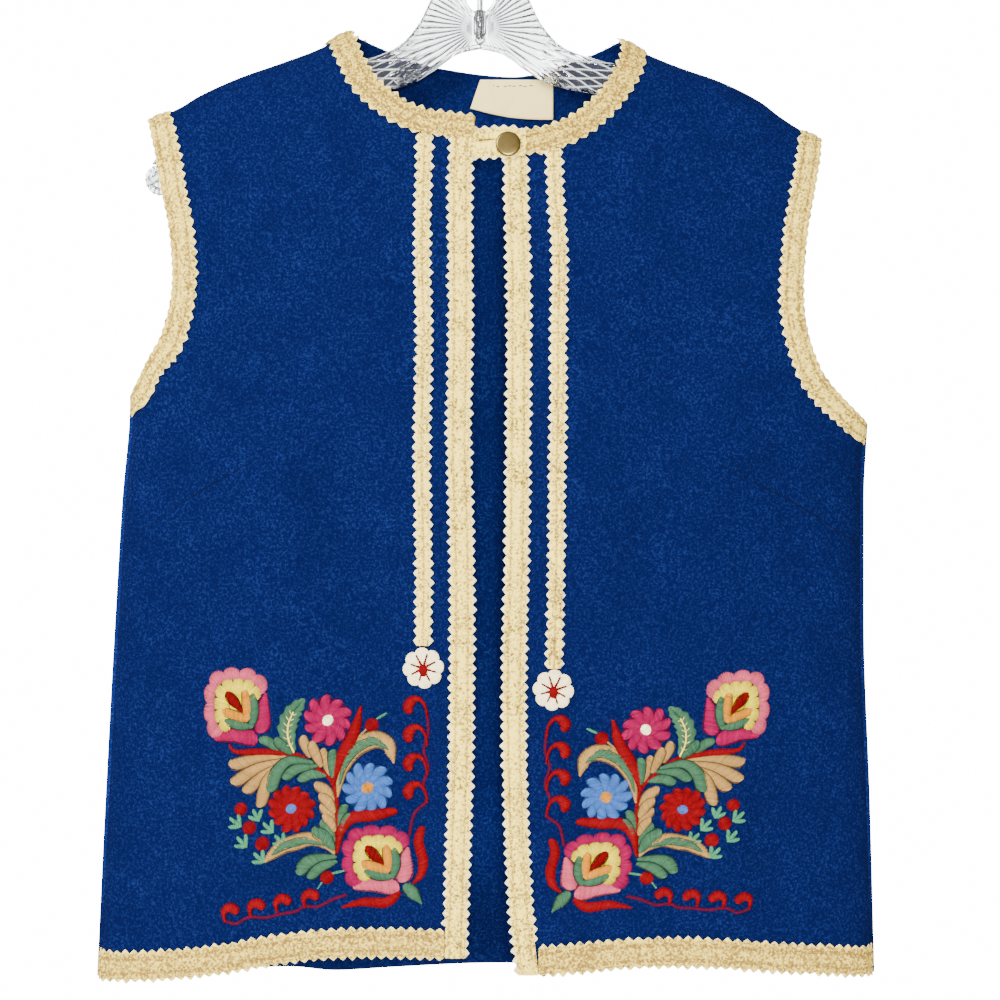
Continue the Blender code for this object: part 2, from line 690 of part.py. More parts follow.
def ease(share):
    """A share of 0 to 1 with soft ends."""
    share = min(max(share, 0.0), 1.0)
    return share * share * (3 - 2 * share)


def build_tab():
    """The button tab: from under one front's band, out over the other front."""

    def place(u, v, outside):
        along, across = u / TAB_COLUMNS, 2 * v / TAB_ROWS - 1
        round_end = math.sqrt(1 - max((along - TAB_ROUND_FROM) / (1 - TAB_ROUND_FROM), 0.0) ** 2)
        x = TAB_LEFT + (TAB_RIGHT - TAB_LEFT) * along
        z = TAB_MID_Z + TAB_HALF * (TAB_BLUNT + (1 - TAB_BLUNT) * round_end) * across
        climb = ease((x - TAB_CLIMB_FROM) / (TAB_CLIMB_TO - TAB_CLIMB_FROM))
        lift = TAB_UNDER + climb * (TAB_OVER - TAB_UNDER) + (FELT if outside else 0.0)
        girth = girth_at(x, z)
        return form_point(FRONT, girth, z) + form_normal(FRONT, girth, z) * lift

    return wall("button_tab", flat_grid(TAB_COLUMNS, TAB_ROWS), place, CREAM)


def build_label():
    """The bare tape label, inside the back below its neck edge."""

    def place(u, v, outside):
        along, down = u / LABEL_COLUMNS, v / LABEL_ROWS
        left = LABEL_LEFT_TOP + (LABEL_LEFT_LOW - LABEL_LEFT_TOP) * down
        x = left + (LABEL_RIGHT - left) * along
        drop = LABEL_DROP_LEFT + (LABEL_DROP_RIGHT - LABEL_DROP_LEFT) * along
        z = LABEL_TOP - (drop + LABEL_BELLY * math.sin(math.pi * along)) * down
        inward = WOOL + 2 * GAP + LABEL_LEAN * down + (0.0 if outside else TAPE)
        girth = girth_at(x, z)
        return form_point(BACK, girth, z) - form_normal(BACK, girth, z) * inward

    return wall("neck_label", flat_grid(LABEL_COLUMNS, LABEL_ROWS), place, TAPE_COLOUR)


def build_button():
    """A domed metal button, turned from its profile and set square on the tab."""
    mesh = bpy.data.meshes.new("button")
    verts = [(point.radius * MM, 0, point.height * MM) for point in BUTTON_PROFILE]
    mesh.from_pydata(verts, [(i, i + 1) for i in range(len(verts) - 1)], [])
    button = new_object("button", mesh, BRASS, 0.25, metallic=1.0)
    screw = button.modifiers.new("turn", "SCREW")
    screw.steps = 24
    screw.render_steps = 24
    screw.use_merge_vertices = True
    screw.merge_threshold = 0.00001
    x, z = BUTTON_AT
    girth = girth_at(x, z)
    normal = form_normal(FRONT, girth, z)
    button.location = (form_point(FRONT, girth, z) + normal * (TAB_OVER + FELT)) * MM
    button.rotation_euler = normal.to_track_quat("Z", "Y").to_euler()
    return button


def curve_object(name, splines, dimensions):
    """A curve object from lists of (x, y, z) points in millimetres."""
    curve = bpy.data.curves.new(name, "CURVE")
    curve.dimensions = dimensions
    for points, closed in splines:
        spline = curve.splines.new("POLY")
        spline.points.add(len(points) - 1)
        for spot, point in zip(spline.points, points):
            spot.co = (*(value * MM for value in point), 1.0)
        spline.use_cyclic_u = closed
    return curve


def hanger_outline():
    """The hanger's closed outline, both arms and their round ends."""
    knob = []
    for i in range(KNOB_STEPS + 1):
        turn = math.radians(KNOB_FROM_TURN - KNOB_TURN * i / KNOB_STEPS)
        knob.append((HANGER_KNOB.x + KNOB_RADIUS * math.cos(turn),
                     HANGER_KNOB.z + KNOB_RADIUS * math.sin(turn)))
    upper = [tuple(p) for p in smooth_line(HANGER_TOP, 12.0, 1)]
    lower = [tuple(p) for p in smooth_line(HANGER_LOW, 14.0, 1)]
    half = upper[:-1] + knob + lower[1:]
    mirror = [(-x, z) for x, z in reversed(half[1:-1])]
    return half + mirror


def build_hanger():
    """The moulded body: an extruded outline with a window and a drilled sleeve."""
    window = [(WINDOW_HALF_WIDTH * math.cos(t), WINDOW_Z + WINDOW_HALF_HEIGHT * math.sin(t))
              for t in (2 * math.pi * i / 24 for i in range(24))]
    loops = [([(x, z, 0) for x, z in loop], True) for loop in (hanger_outline(), window)]
    curve = curve_object("hanger_outline", loops, "2D")
    curve.fill_mode = "BOTH"
    curve.bevel_depth = HANGER_ROUNDING * MM
    curve.bevel_resolution = 0
    curve.offset = -HANGER_ROUNDING * MM
    curve.extrude = (HANGER_HALF - HANGER_ROUNDING) * MM
    guide = bpy.data.objects.new("hanger_outline", curve)
    PARTS.objects.link(guide)
    guide.rotation_euler = (math.pi / 2, 0, 0)
    bpy.context.view_layer.update()
    evaluated = guide.evaluated_get(bpy.context.evaluated_depsgraph_get())
    mesh = bpy.data.meshes.new_from_object(evaluated)
    mesh.transform(guide.matrix_world)
    bpy.data.objects.remove(guide)
    weld = bmesh.new()
    weld.from_mesh(mesh)
    bmesh.ops.remove_doubles(weld, verts=weld.verts[:], dist=0.00001)
    bmesh.ops.recalc_face_normals(weld, faces=weld.faces[:])
    weld.to_mesh(mesh)
    weld.free()
    mesh.name = "hanger_body"
    body = new_object("hanger_body", mesh, PLASTIC, 0.08, alpha=0.35)
    cut_with(body, cylinder("sleeve", SLEEVE_RADIUS, SLEEVE_LOW, SLEEVE_TOP), "UNION")
    cut_with(body, cylinder("bore", WIRE_RADIUS + GAP, STEM_LOW - GAP, 0.0), "DIFFERENCE")
    return body


def cylinder(name, radius, low, high, sides=16):
    """An upright cylinder on the hook's axis, for a Boolean."""
    shape = bmesh.new()
    bmesh.ops.create_cone(shape, cap_ends=True, segments=sides, radius1=radius * MM,
                          radius2=radius * MM, depth=(high - low) * MM)
    bmesh.ops.translate(shape, verts=shape.verts[:], vec=(0, 0, (low + high) / 2 * MM))
    mesh = bpy.data.meshes.new(name)
    shape.to_mesh(mesh)
    shape.free()
    cutter = bpy.data.objects.new(name, mesh)
    CUTTERS.objects.link(cutter)
    cutter.hide_render = True
    cutter.display_type = "WIRE"
    return cutter


def cut_with(body, cutter, operation):
    """Add a Boolean modifier."""
    modifier = body.modifiers.new(cutter.name, "BOOLEAN")
    modifier.operation = operation
    modifier.solver = "EXACT"
    modifier.object = cutter


def build_hook():
    """The wire hook: a stem in the hanger's sleeve and an open loop above it."""
    centre = -HOOK_INSIDE
    radius = HOOK_INSIDE + WIRE_RADIUS
    route = [(0, STEM_LOW), (0, -95), (0, -66), (0.4, -58), (3.2, -49.5)]
    turns = 15
    for i in range(turns + 1):
        turn = HOOK_START_TURN + (HOOK_TIP_TURN - HOOK_START_TURN) * i / turns
        turn = math.radians(turn)
        route.append((radius * math.cos(turn), centre + radius * math.sin(turn)))
    points = [(x, 0, z) for x, z in smooth_line(route, 8.0, 1)]
    curve = curve_object("hanger_hook", [(points, False)], "3D")
    curve.bevel_depth = WIRE_RADIUS * MM
    curve.bevel_resolution = 2
    curve.use_fill_caps = True
    return new_object("hanger_hook", curve, STEEL, 0.3, metallic=1.0)


def build_front(side, neck, opening, armhole, hem, narrow, flower):
    """Build one front with its bands and flower; side is the wearer's right or left."""
    places = front_places(neck, opening, armhole, hem[0].z, hem)
    panel = Panel(side + "_front", FRONT, places)
    turn = 1 if side == "right" else -1
    seam_up = Vector((0, 0, 1))
    neck_edge = Edge(FRONT, neck)
    arm_edge = Edge(FRONT, armhole)
    hem_edge = Edge(FRONT, hem)
    opening_edge = Edge(FRONT, opening)
    outward = Vector((-turn, 0, 0))
    shoulder_slope = Vector((outward.x, 0, -SHOULDER_SLOPE))
    inner_x = opening[-1].x + outward.x * (CENTRE_BAND + GAP)
    opening_lean = Vector((opening[1].x - opening[0].x, 0, opening[1].z - opening[0].z))
    hem_end = hem_edge.to_x(inner_x)
    if side == "right":
        neck_end = neck_edge.to_x(opening[0].x + outward.x * (CENTRE_BAND + GAP))
        neck_end_across = opening_lean
        centre_start = 0.0
        bare_top = (0.0, NECK_BAND + 2 * TOOTH)
    else:
        neck_end = neck_edge.length
        neck_end_across = -seam_up
        centre_start = opening[0].z - LEFT_CENTRE_TOP
        bare_top = (0.0, 0.0)
    bare_low = (opening_edge.length - HEM_BAND - 2 * TOOTH, opening_edge.length)
    Band(side + "_neck_band", panel, neck_edge, NECK_BAND, -turn, end=neck_end,
         start_across=shoulder_slope, end_across=neck_end_across).build()
    Band(side + "_armhole_band_front", panel, arm_edge, ARMHOLE_BAND, turn,
         start_across=-shoulder_slope, end_across=-seam_up).build()
    Band(side + "_hem_band", panel, hem_edge, HEM_BAND, turn, end=hem_end,
         start_across=seam_up, end_across=seam_up).build()
    Band(side + "_centre_band", panel, opening_edge, CENTRE_BAND, -turn, start=centre_start,
         start_across=outward, end_across=outward, bare=(bare_top, bare_low)).build()
    Band(side + "_narrow_band", panel, Edge(FRONT, narrow), NARROW_BAND, -turn,
         start_across=outward, end_across=outward).build()
    build_flower(side + "_flower", panel, *flower)


def build_back():
    """Build the back panel with the bands on its outside and the label inside."""
    panel = Panel("back_panel", BACK, back_places())
    down = Vector((0, 0, -1))
    right_slope = Vector((-1, 0, -SHOULDER_SLOPE))
    left_slope = Vector((1, 0, -SHOULDER_SLOPE))
    for side, marks, turn, slope in (("right", RIGHT_ARMHOLE, -1, right_slope),
                                     ("left", LEFT_ARMHOLE, 1, left_slope)):
        edge = Edge(BACK, marks)
        Band(side + "_armhole_band_back", panel, edge, ARMHOLE_BAND, turn,
             start_across=-slope, end_across=down).build()
    Band("back_neck_band", panel, Edge(BACK, BACK_NECK), NECK_BAND, 1, inset=TOOTH,
         start_across=right_slope, end_across=left_slope).build()
    Band("back_hem_band", panel, Edge(BACK, BACK_HEM), HEM_BAND, -1, inset=TOOTH,
         start_across=-down, end_across=-down).build()
    build_label()


def main():
    """Build the vest and its hanger."""
    build_front("right", RIGHT_NECK, RIGHT_OPENING, RIGHT_ARMHOLE, RIGHT_HEM,
                RIGHT_NARROW, RIGHT_FLOWER)
    build_front("left", LEFT_NECK, LEFT_OPENING, LEFT_ARMHOLE, LEFT_HEM,
                LEFT_NARROW, LEFT_FLOWER)
    build_back()
    build_tab()
    build_button()
    build_hanger()
    build_hook()


for stale in list(bpy.data.objects):
    bpy.data.objects.remove(stale)
PARTS = bpy.data.collections.new("folk_vest")
CUTTERS = bpy.data.collections.new("cutters")
bpy.context.scene.collection.children.link(PARTS)
bpy.context.scene.collection.children.link(CUTTERS)
main()
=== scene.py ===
"""Folk vest of felted wool on a clear moulded hanger: how every piece looks.

Tables and fields hold millimetres, and meshes are in metres, in the frame of
the solids: X to the wearer's left, -Y to the front, +Z up, and the origin at
the inside top of the hook. The cloth lies on one smooth form, and whatever is
sewn on it is laid on the same form and moved out.
"""

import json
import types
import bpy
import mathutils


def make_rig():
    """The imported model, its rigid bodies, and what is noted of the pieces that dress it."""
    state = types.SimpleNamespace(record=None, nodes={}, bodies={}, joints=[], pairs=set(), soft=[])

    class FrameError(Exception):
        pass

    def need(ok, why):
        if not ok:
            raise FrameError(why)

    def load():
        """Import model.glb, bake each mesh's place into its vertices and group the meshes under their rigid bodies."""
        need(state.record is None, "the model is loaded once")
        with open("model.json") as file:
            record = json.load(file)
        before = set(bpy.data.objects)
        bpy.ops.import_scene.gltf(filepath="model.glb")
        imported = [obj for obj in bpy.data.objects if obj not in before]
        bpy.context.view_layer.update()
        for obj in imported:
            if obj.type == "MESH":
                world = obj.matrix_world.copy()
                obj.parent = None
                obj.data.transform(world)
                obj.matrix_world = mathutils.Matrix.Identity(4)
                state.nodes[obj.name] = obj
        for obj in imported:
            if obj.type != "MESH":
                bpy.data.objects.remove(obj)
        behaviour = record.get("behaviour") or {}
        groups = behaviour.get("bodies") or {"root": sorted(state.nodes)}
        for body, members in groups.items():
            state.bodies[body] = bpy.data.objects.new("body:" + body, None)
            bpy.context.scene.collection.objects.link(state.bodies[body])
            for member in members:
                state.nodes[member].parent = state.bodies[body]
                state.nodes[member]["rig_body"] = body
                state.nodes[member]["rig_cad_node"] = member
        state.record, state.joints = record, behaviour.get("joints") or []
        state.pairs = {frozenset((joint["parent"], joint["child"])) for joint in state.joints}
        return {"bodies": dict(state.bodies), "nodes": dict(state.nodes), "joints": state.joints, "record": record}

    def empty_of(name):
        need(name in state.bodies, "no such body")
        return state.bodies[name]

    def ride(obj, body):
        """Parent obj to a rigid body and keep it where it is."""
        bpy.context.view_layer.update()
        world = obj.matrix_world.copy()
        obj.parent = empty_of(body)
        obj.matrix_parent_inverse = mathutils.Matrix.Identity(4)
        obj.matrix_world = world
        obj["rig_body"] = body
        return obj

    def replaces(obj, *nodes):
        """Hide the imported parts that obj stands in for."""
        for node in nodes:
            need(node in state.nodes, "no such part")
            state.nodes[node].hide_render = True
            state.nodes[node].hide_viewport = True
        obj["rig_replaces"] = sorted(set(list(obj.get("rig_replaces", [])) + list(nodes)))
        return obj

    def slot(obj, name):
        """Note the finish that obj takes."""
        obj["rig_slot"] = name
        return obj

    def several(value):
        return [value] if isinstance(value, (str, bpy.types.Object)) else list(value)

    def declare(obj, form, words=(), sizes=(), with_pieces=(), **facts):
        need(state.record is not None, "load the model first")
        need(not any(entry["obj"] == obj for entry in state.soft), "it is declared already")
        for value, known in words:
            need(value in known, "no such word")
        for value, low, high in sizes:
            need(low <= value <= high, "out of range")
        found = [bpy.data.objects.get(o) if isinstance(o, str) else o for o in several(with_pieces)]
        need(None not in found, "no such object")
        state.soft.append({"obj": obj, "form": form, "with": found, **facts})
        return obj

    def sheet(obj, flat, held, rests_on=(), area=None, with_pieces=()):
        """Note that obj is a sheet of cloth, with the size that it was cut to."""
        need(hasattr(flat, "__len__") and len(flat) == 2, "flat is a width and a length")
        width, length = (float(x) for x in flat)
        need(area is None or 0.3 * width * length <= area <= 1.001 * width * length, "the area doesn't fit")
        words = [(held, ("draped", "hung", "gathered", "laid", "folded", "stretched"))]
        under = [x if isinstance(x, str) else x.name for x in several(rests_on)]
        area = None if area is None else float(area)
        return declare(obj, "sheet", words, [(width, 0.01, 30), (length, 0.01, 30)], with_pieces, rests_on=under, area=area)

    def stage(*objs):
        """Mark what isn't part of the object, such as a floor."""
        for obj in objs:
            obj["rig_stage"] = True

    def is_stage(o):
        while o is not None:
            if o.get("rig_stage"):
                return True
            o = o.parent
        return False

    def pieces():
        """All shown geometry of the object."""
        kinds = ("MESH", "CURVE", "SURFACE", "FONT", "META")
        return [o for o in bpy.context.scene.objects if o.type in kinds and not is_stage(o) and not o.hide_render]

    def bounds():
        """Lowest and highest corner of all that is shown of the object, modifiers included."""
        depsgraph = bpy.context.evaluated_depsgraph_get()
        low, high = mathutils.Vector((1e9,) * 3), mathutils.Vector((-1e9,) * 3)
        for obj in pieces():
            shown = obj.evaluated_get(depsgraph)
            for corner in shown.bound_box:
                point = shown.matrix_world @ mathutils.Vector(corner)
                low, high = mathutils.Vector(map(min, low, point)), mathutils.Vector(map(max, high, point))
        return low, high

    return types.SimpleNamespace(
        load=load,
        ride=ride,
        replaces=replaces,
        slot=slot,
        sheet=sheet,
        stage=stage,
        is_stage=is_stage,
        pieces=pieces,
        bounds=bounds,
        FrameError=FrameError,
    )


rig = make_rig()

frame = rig.load()
CAD_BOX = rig.bounds()

import json
import logging
import math
from dataclasses import dataclass, field
from enum import Enum
from typing import Any, Callable, ClassVar, NamedTuple, Optional, Sequence

import bmesh
import bpy
import numpy as np
from mathutils import Vector

LOG = logging.getLogger("folk_vest")
Array = np.ndarray
Material = bpy.types.Material
Piece = bpy.types.Object
Socket = bpy.types.NodeSocket
Tree = bpy.types.NodeTree
Faces = list[tuple[int, ...]]
Place = tuple[float, float]
MM = 0.001
DEEPEST_TONE = -1.6          # of felt where it is painted darkest: painted shade in its pressed channels and seams, and on darker bands


# --------------------------------------------------------------------- helpers
def linear(colour: str) -> tuple[float, float, float, float]:
    """Turn an sRGB hex colour into linear light.

    Args:
        colour: six hex digits after a hash.

    Returns:
        Red, green, blue and an alpha of 1.
    """
    parts = [int(colour[i:i + 2], 16) / 255 for i in (1, 3, 5)]
    light = [c / 12.92 if c <= 0.04045 else ((c + 0.055) / 1.055) ** 2.4 for c in parts]
    return light[0], light[1], light[2], 1.0


def set_inputs(tree: Tree, node: bpy.types.Node, inputs: dict[Any, Any]) -> None:
    """Give a node's inputs, by name or number, a value or an output socket to link."""
    for key, value in inputs.items():
        if isinstance(value, Socket):
            tree.links.new(value, node.inputs[key])
        else:
            node.inputs[key].default_value = value


def add_node(tree: Tree, kind: str, settings: Optional[dict[str, Any]] = None,
             inputs: Optional[dict[Any, Any]] = None) -> bpy.types.Node:
    """Add a node with its settings, values and links.

    Args:
        tree: the tree that the node joins.
        kind: the node's type name.
        settings: attributes of the node itself.
        inputs: a value, or an output socket to link, for each input's name or number.

    Returns:
        The new node.
    """
    node = tree.nodes.new(kind)
    for key, value in (settings or {}).items():
        setattr(node, key, value)
    set_inputs(tree, node, inputs or {})
    return node


@dataclass(frozen=True)
class Nodes:
    """Adds nodes to one tree and hands back their outputs."""

    tree: Tree

    def out(self, kind: str, inputs: Optional[dict[Any, Any]] = None, output: Any = 0,
            **settings: Any) -> Socket:
        """Add a node and give one of its outputs, by name or number."""
        return add_node(self.tree, kind, settings, inputs).outputs[output]

    def place(self) -> Socket:
        """Give the place on the object, in metres."""
        return self.out("ShaderNodeTexCoord", output="Object")

    def attribute(self, name: str, output: str = "Fac") -> Socket:
        """Read what is marked on the mesh under a name."""
        return self.out("ShaderNodeAttribute", output=output, attribute_name=name)

    def math(self, operation: str, *values: Any) -> Socket:
        """Work out one operation on numbers or sockets."""
        return self.out("ShaderNodeMath", dict(enumerate(values)), operation=operation)

    def noise(self, size_mm: float, detail: float, **more: float) -> Socket:
        """Spread noise of a size over the object."""
        return self.out("ShaderNodeTexNoise",
                        {"Vector": self.place(), "Scale": 1 / (size_mm * MM), "Detail": detail,
                         **more}, "Fac")

    def remap(self, value: Socket, low: float, high: float, to_low: float = 0.0,
              to_high: float = 1.0, kind: str = "LINEAR") -> Socket:
        """Turn the range low to high into another one, held at its ends."""
        return self.out("ShaderNodeMapRange",
                        {"Value": value, "From Min": low, "From Max": high,
                         "To Min": to_low, "To Max": to_high}, interpolation_type=kind)

    def mix(self, share: Socket, low: Any, high: Any) -> Socket:
        """Mix two colours, each a hex colour or a socket."""
        low, high = (linear(c) if isinstance(c, str) else c for c in (low, high))
        return self.out("ShaderNodeMix", {0: share, 6: low, 7: high}, 2, data_type="RGBA")

    def brighten(self, colour: Socket, value: Socket) -> Socket:
        """Scale a colour's brightness."""
        return self.out("ShaderNodeHueSaturation", {"Value": value, "Color": colour})

    def bump(self, height: Socket, strength: float, deep_mm: float) -> Socket:
        """Turn a height of 0 to 1 into relief."""
        return self.out("ShaderNodeBump",
                        {"Strength": strength, "Distance": deep_mm * MM, "Height": height})


def read_table(keys: Sequence[float], values: Sequence[float], at: Array) -> Array:
    """Read a column of a table smoothly, without overshoot, and straight past its ends.

    Args:
        keys: where the rows stand.
        values: what the rows hold.
        at: the places to read.

    Returns:
        The value at each place.
    """
    order = np.argsort(keys)
    keys, values = np.asarray(keys, float)[order], np.asarray(values, float)[order]
    at = np.asarray(at, float)
    run = np.diff(keys)
    rise = np.diff(values) / run
    slope = np.empty(len(keys))
    slope[0], slope[-1] = rise[0], rise[-1]
    before, after = rise[:-1], rise[1:]
    both = before * after
    safe = np.where(both > 0, before + after, 1.0)
    slope[1:-1] = np.where(both > 0, 2 * both / safe, 0.0)
    i = np.clip(np.searchsorted(keys, at, side="right") - 1, 0, len(run) - 1)
    t = (at - keys[i]) / run[i]
    inside = (values[i] * (1 + 2 * t) * (1 - t) ** 2 + values[i + 1] * t * t * (3 - 2 * t)
              + run[i] * (slope[i] * t * (1 - t) ** 2 - slope[i + 1] * t * t * (1 - t)))
    low = values[0] + (at - keys[0]) * rise[0]
    high = values[-1] + (at - keys[-1]) * rise[-1]
    return np.where(at <= keys[0], low, np.where(at >= keys[-1], high, inside))


def smooth_line(points: Sequence[Sequence[float]], spacing: float = 1.0, least: int = 6) -> Array:
    """Run a smooth curve through points.

    Args:
        points: the points, of two or three coordinates.
        spacing: about how far apart the curve's points stand.
        least: fewest steps between two of the points.

    Returns:
        The curve's points, one row each.
    """
    given = [np.asarray(p, float) for p in points]
    padded = [given[0], *given, given[-1]]
    line = []
    for p0, p1, p2, p3 in zip(padded, padded[1:], padded[2:], padded[3:]):
        steps = max(round(float(np.linalg.norm(p2 - p1)) / spacing), least)
        for n in range(steps):
            t = n / steps
            line.append(0.5 * (2 * p1 + (p2 - p0) * t + (2 * p0 - 5 * p1 + 4 * p2 - p3) * t * t
                               + (3 * p1 - p0 - 3 * p2 + p3) * t ** 3))
    line.append(given[-1])
    return np.array(line)


def unit(vectors: Array) -> Array:
    """Scale each row's vector to length 1."""
    return vectors / np.maximum(np.linalg.norm(vectors, axis=-1, keepdims=True), 1e-12)


def ease(share: Array) -> Array:
    """Turn a share of 0 to 1 into one with soft ends."""
    share = np.clip(share, 0.0, 1.0)
    return share * share * (3 - 2 * share)


def run_lengths(line: Array) -> Array:
    """Give the length along a line at each of its points."""
    steps = np.linalg.norm(np.diff(line, axis=0), axis=-1)
    return np.concatenate([[0.0], np.cumsum(steps)])


def read_rows(at: Array, keys: Array, rows: Array) -> Array:
    """Read between the rows of points or directions that stand at keys."""
    return np.stack([np.interp(at, keys, column) for column in rows.T], axis=-1)


def turns(count: int) -> Array:
    """Spread angles evenly over a full turn."""
    return np.linspace(0, 2 * math.pi, count, endpoint=False)


def ray(angle: float) -> Array:
    """Give the direction at an angle in a plane."""
    return np.array([math.cos(angle), math.sin(angle)])


def square_to(vectors: Array) -> Array:
    """Turn directions in a plane by a quarter."""
    return np.stack([-vectors[..., 1], vectors[..., 0]], axis=-1)


def add_object(name: str, data: bpy.types.ID) -> Piece:
    """Make an object of a mesh, a lamp or a camera, and link it to the scene."""
    piece = bpy.data.objects.new(name, data)
    bpy.context.scene.collection.objects.link(piece)
    return piece


def mark_points(mesh: bpy.types.Mesh, name: str, values: Array) -> None:
    """Mark each point of a mesh with a number, for a material or a node tree to read."""
    mesh.attributes.new(name, "FLOAT", "POINT").data.foreach_set("value", values)
def mesh_object(name: str, points: Array, faces: Sequence[Sequence[int]],
                material: Optional[Material] = None, smooth: bool = True) -> Piece:
    """Make an object of a mesh from points in millimetres.

    Args:
        name: the piece's name.
        points: one row of x, y, z each.
        faces: the corners of each face.
        material: what it is made of.
        smooth: whether its faces are shaded as one surface.

    Returns:
        The object, linked to the scene.
    """
    mesh = bpy.data.meshes.new(name)
    mesh.from_pydata((np.asarray(points) * MM).tolist(), [], [tuple(f) for f in faces])
    if smooth:
        mesh.polygons.foreach_set("use_smooth", [True] * len(mesh.polygons))
    mesh.update()
    if material:
        mesh.materials.append(material)
    return add_object(name, mesh)


# ------------------------------------------------------------ the form of the body
class Face(Enum):
    """A side of the vest, with the sign of its Y."""

    FRONT = -1
    BACK = 1


class Level(NamedTuple):
    """The body's section at a height."""

    z: float
    right_side: float
    left_side: float
    front_depth: float
    back_depth: float


class Mark(NamedTuple):
    """A place seen square on, across and up."""

    x: float
    z: float


def line_of(*places: Sequence[float]) -> tuple[Mark, ...]:
    """Make a line of marks from places, each across and up."""
    return tuple(Mark(*place) for place in places)


class Swell(NamedTuple):
    """A round place where the cloth stands out."""

    face: Face
    x: float
    z: float
    height: float
    spread: float


class Fold(NamedTuple):
    """A long soft trough that hangs from z_top to z_low."""

    face: Face
    z_top: float
    z_low: float
    x_top: float
    x_mid: float
    x_low: float
    half_width: float
    depth: float


class Crease(NamedTuple):
    """A curved trough, or a ridge where depth is negative; open_start doesn't fade."""

    face: Face
    start: Mark
    bend: Mark
    end: Mark
    half_width: float
    depth: float
    open_start: bool = False


BODY = (
    Level(-110, -233, 252, 31, 28),
    Level(-250, -231, 251, 35, 29),
    Level(-360, -225, 250, 37, 30),
    Level(-425, -230, 247, 37, 31),
    Level(-500, -234.5, 247, 35, 32),
    Level(-620, -241, 251, 34, 33),
    Level(-735, -246.5, 254, 35, 34),
)
RIGHT_NECK_POINT = Mark(-84.5, -120.3)
LEFT_NECK_POINT = Mark(91.0, -125.5)
SHOULDER = line_of(
    (-240, -192), (-214.5, -177.5), (-195, -169), (-182, -161.2), (-156, -149.5), (-130, -140.4),
    (-104, -130.7), RIGHT_NECK_POINT, (-40, -112), (40, -113), LEFT_NECK_POINT, (110.5, -135.2),
    (130, -143), (156, -152.1), (182, -165.1), (195, -174.9), (208, -183.3), (221, -190.5),
    (250, -206))
SHOULDER_SLOPE = 0.42
RIGHT_NECK = line_of(
    RIGHT_NECK_POINT, (-81.4, -127.1), (-75.1, -141.7), (-66.3, -155.8), (-50.1, -169.4),
    (-35.4, -176.1), (-18.8, -178.6), (-2.9, -180.8))
LEFT_NECK = line_of(
    LEFT_NECK_POINT, (92.4, -133.9), (90.2, -142.5), (83.4, -155.8), (72.3, -169.4),
    (55.6, -182.2), (35.3, -188.8), (14.5, -191.0))
BACK_NECK = line_of(
    RIGHT_NECK_POINT, (-61, -130), (-29, -140.4), (22, -146.2), (70, -134), LEFT_NECK_POINT)
RIGHT_ARMHOLE = line_of(
    (-214.5, -177.5), (-208.4, -202.2), (-202.5, -231.8), (-198.4, -251.3), (-196.2, -280.3),
    (-198.1, -299.5), (-203.6, -318.6), (-209.5, -328.8), (-215, -338.3), (-220, -347.8),
    (-223.9, -354.3), (-225, -356.5))
LEFT_ARMHOLE = line_of(
    (220.5, -190.2), (219.0, -203), (215.4, -221.8), (209.8, -251.2), (206.9, -280.3),
    (207.0, -301), (210.2, -320), (216.5, -337.8), (222.2, -347.3), (231, -357.3), (241, -366.8),
    (247.8, -372.8), (250, -374.8))
RIGHT_OPENING = line_of(
    (-2.9, -180.8), (-5, -200), (-6, -234), (-5.6, -310), (-6.6, -386), (-4.8, -462),
    (-4.8, -530), (-5.6, -596), (-8, -672), (-9.2, -715.4))
LEFT_OPENING = line_of(
    (14.5, -191.0), (16.6, -210), (16.9, -234), (18.5, -290), (18.1, -386), (17.2, -462),
    (15.6, -530), (16, -596), (19, -672), (24.5, -726.2))
RIGHT_HEM = line_of(
    (-246.5, -733), (-228.6, -732.4), (-194.8, -729.5), (-162.3, -725), (-130.1, -719.3),
    (-98.2, -715.6), (-66.4, -714.2), (-34.6, -714.5), (-9.2, -715.4))
LEFT_HEM = line_of(
    (254, -730.5), (238.5, -729.2), (220.8, -727.2), (188.3, -724.8), (156.1, -721.8),
    (124.2, -720.4), (92.4, -721.1), (60.6, -724), (24.5, -726.2))
BACK_HEM = line_of(
    (-246.5, -733), (-190, -733.5), (-126, -733), (-96, -735.6), (-60, -734), (13, -731),
    (120, -732), (200, -731), (254, -730.5))
RIGHT_NARROW = line_of(
    (-31.2, -191), (-31.3, -203), (-32.0, -230), (-32.5, -265), (-31.9, -297), (-31.2, -323),
    (-32.4, -366), (-32.6, -410), (-31.7, -454), (-31.8, -505), (-32.2, -517))
LEFT_NARROW = line_of(
    (43.3, -200.5), (43.7, -212), (44.5, -231), (46.8, -266), (46.7, -297), (46.1, -323),
    (46.1, -367), (45.2, -410), (45.1, -454), (44.2, -505), (43.6, -531.5))
SWELLS = (
    Swell(Face.FRONT, -121, -395, 8, 46),
    Swell(Face.FRONT, 129, -400, 8, 46),
    Swell(Face.BACK, -95, -255, 4, 55),
    Swell(Face.BACK, 105, -260, 4, 55),
)
FOLDS = (
    Fold(Face.FRONT, -240, -560, -150, -92, -62, 26, 5.0),
    Fold(Face.FRONT, -235, -560, 134, 118, 92, 26, 5.0),
    Fold(Face.FRONT, -520, -735, 186, 190, 188, 17, 3.0),
    Fold(Face.FRONT, -410, -540, -176, -175, -178, 16, 2.0),
    Fold(Face.FRONT, -600, -760, -150, -110, -90, 32, 3.0),
    Fold(Face.BACK, -260, -760, -70, -92, -98, 30, 4.0),
    Fold(Face.BACK, -270, -745, 88, 104, 118, 28, 4.0),
    Fold(Face.BACK, -480, -750, 10, 14, 8, 34, 3.0),
)
DART_RIGHT = line_of((-218, -444), (-171, -414.5), (-119, -387.3))
DART_LEFT = line_of((247, -455), (196, -424), (132, -393))
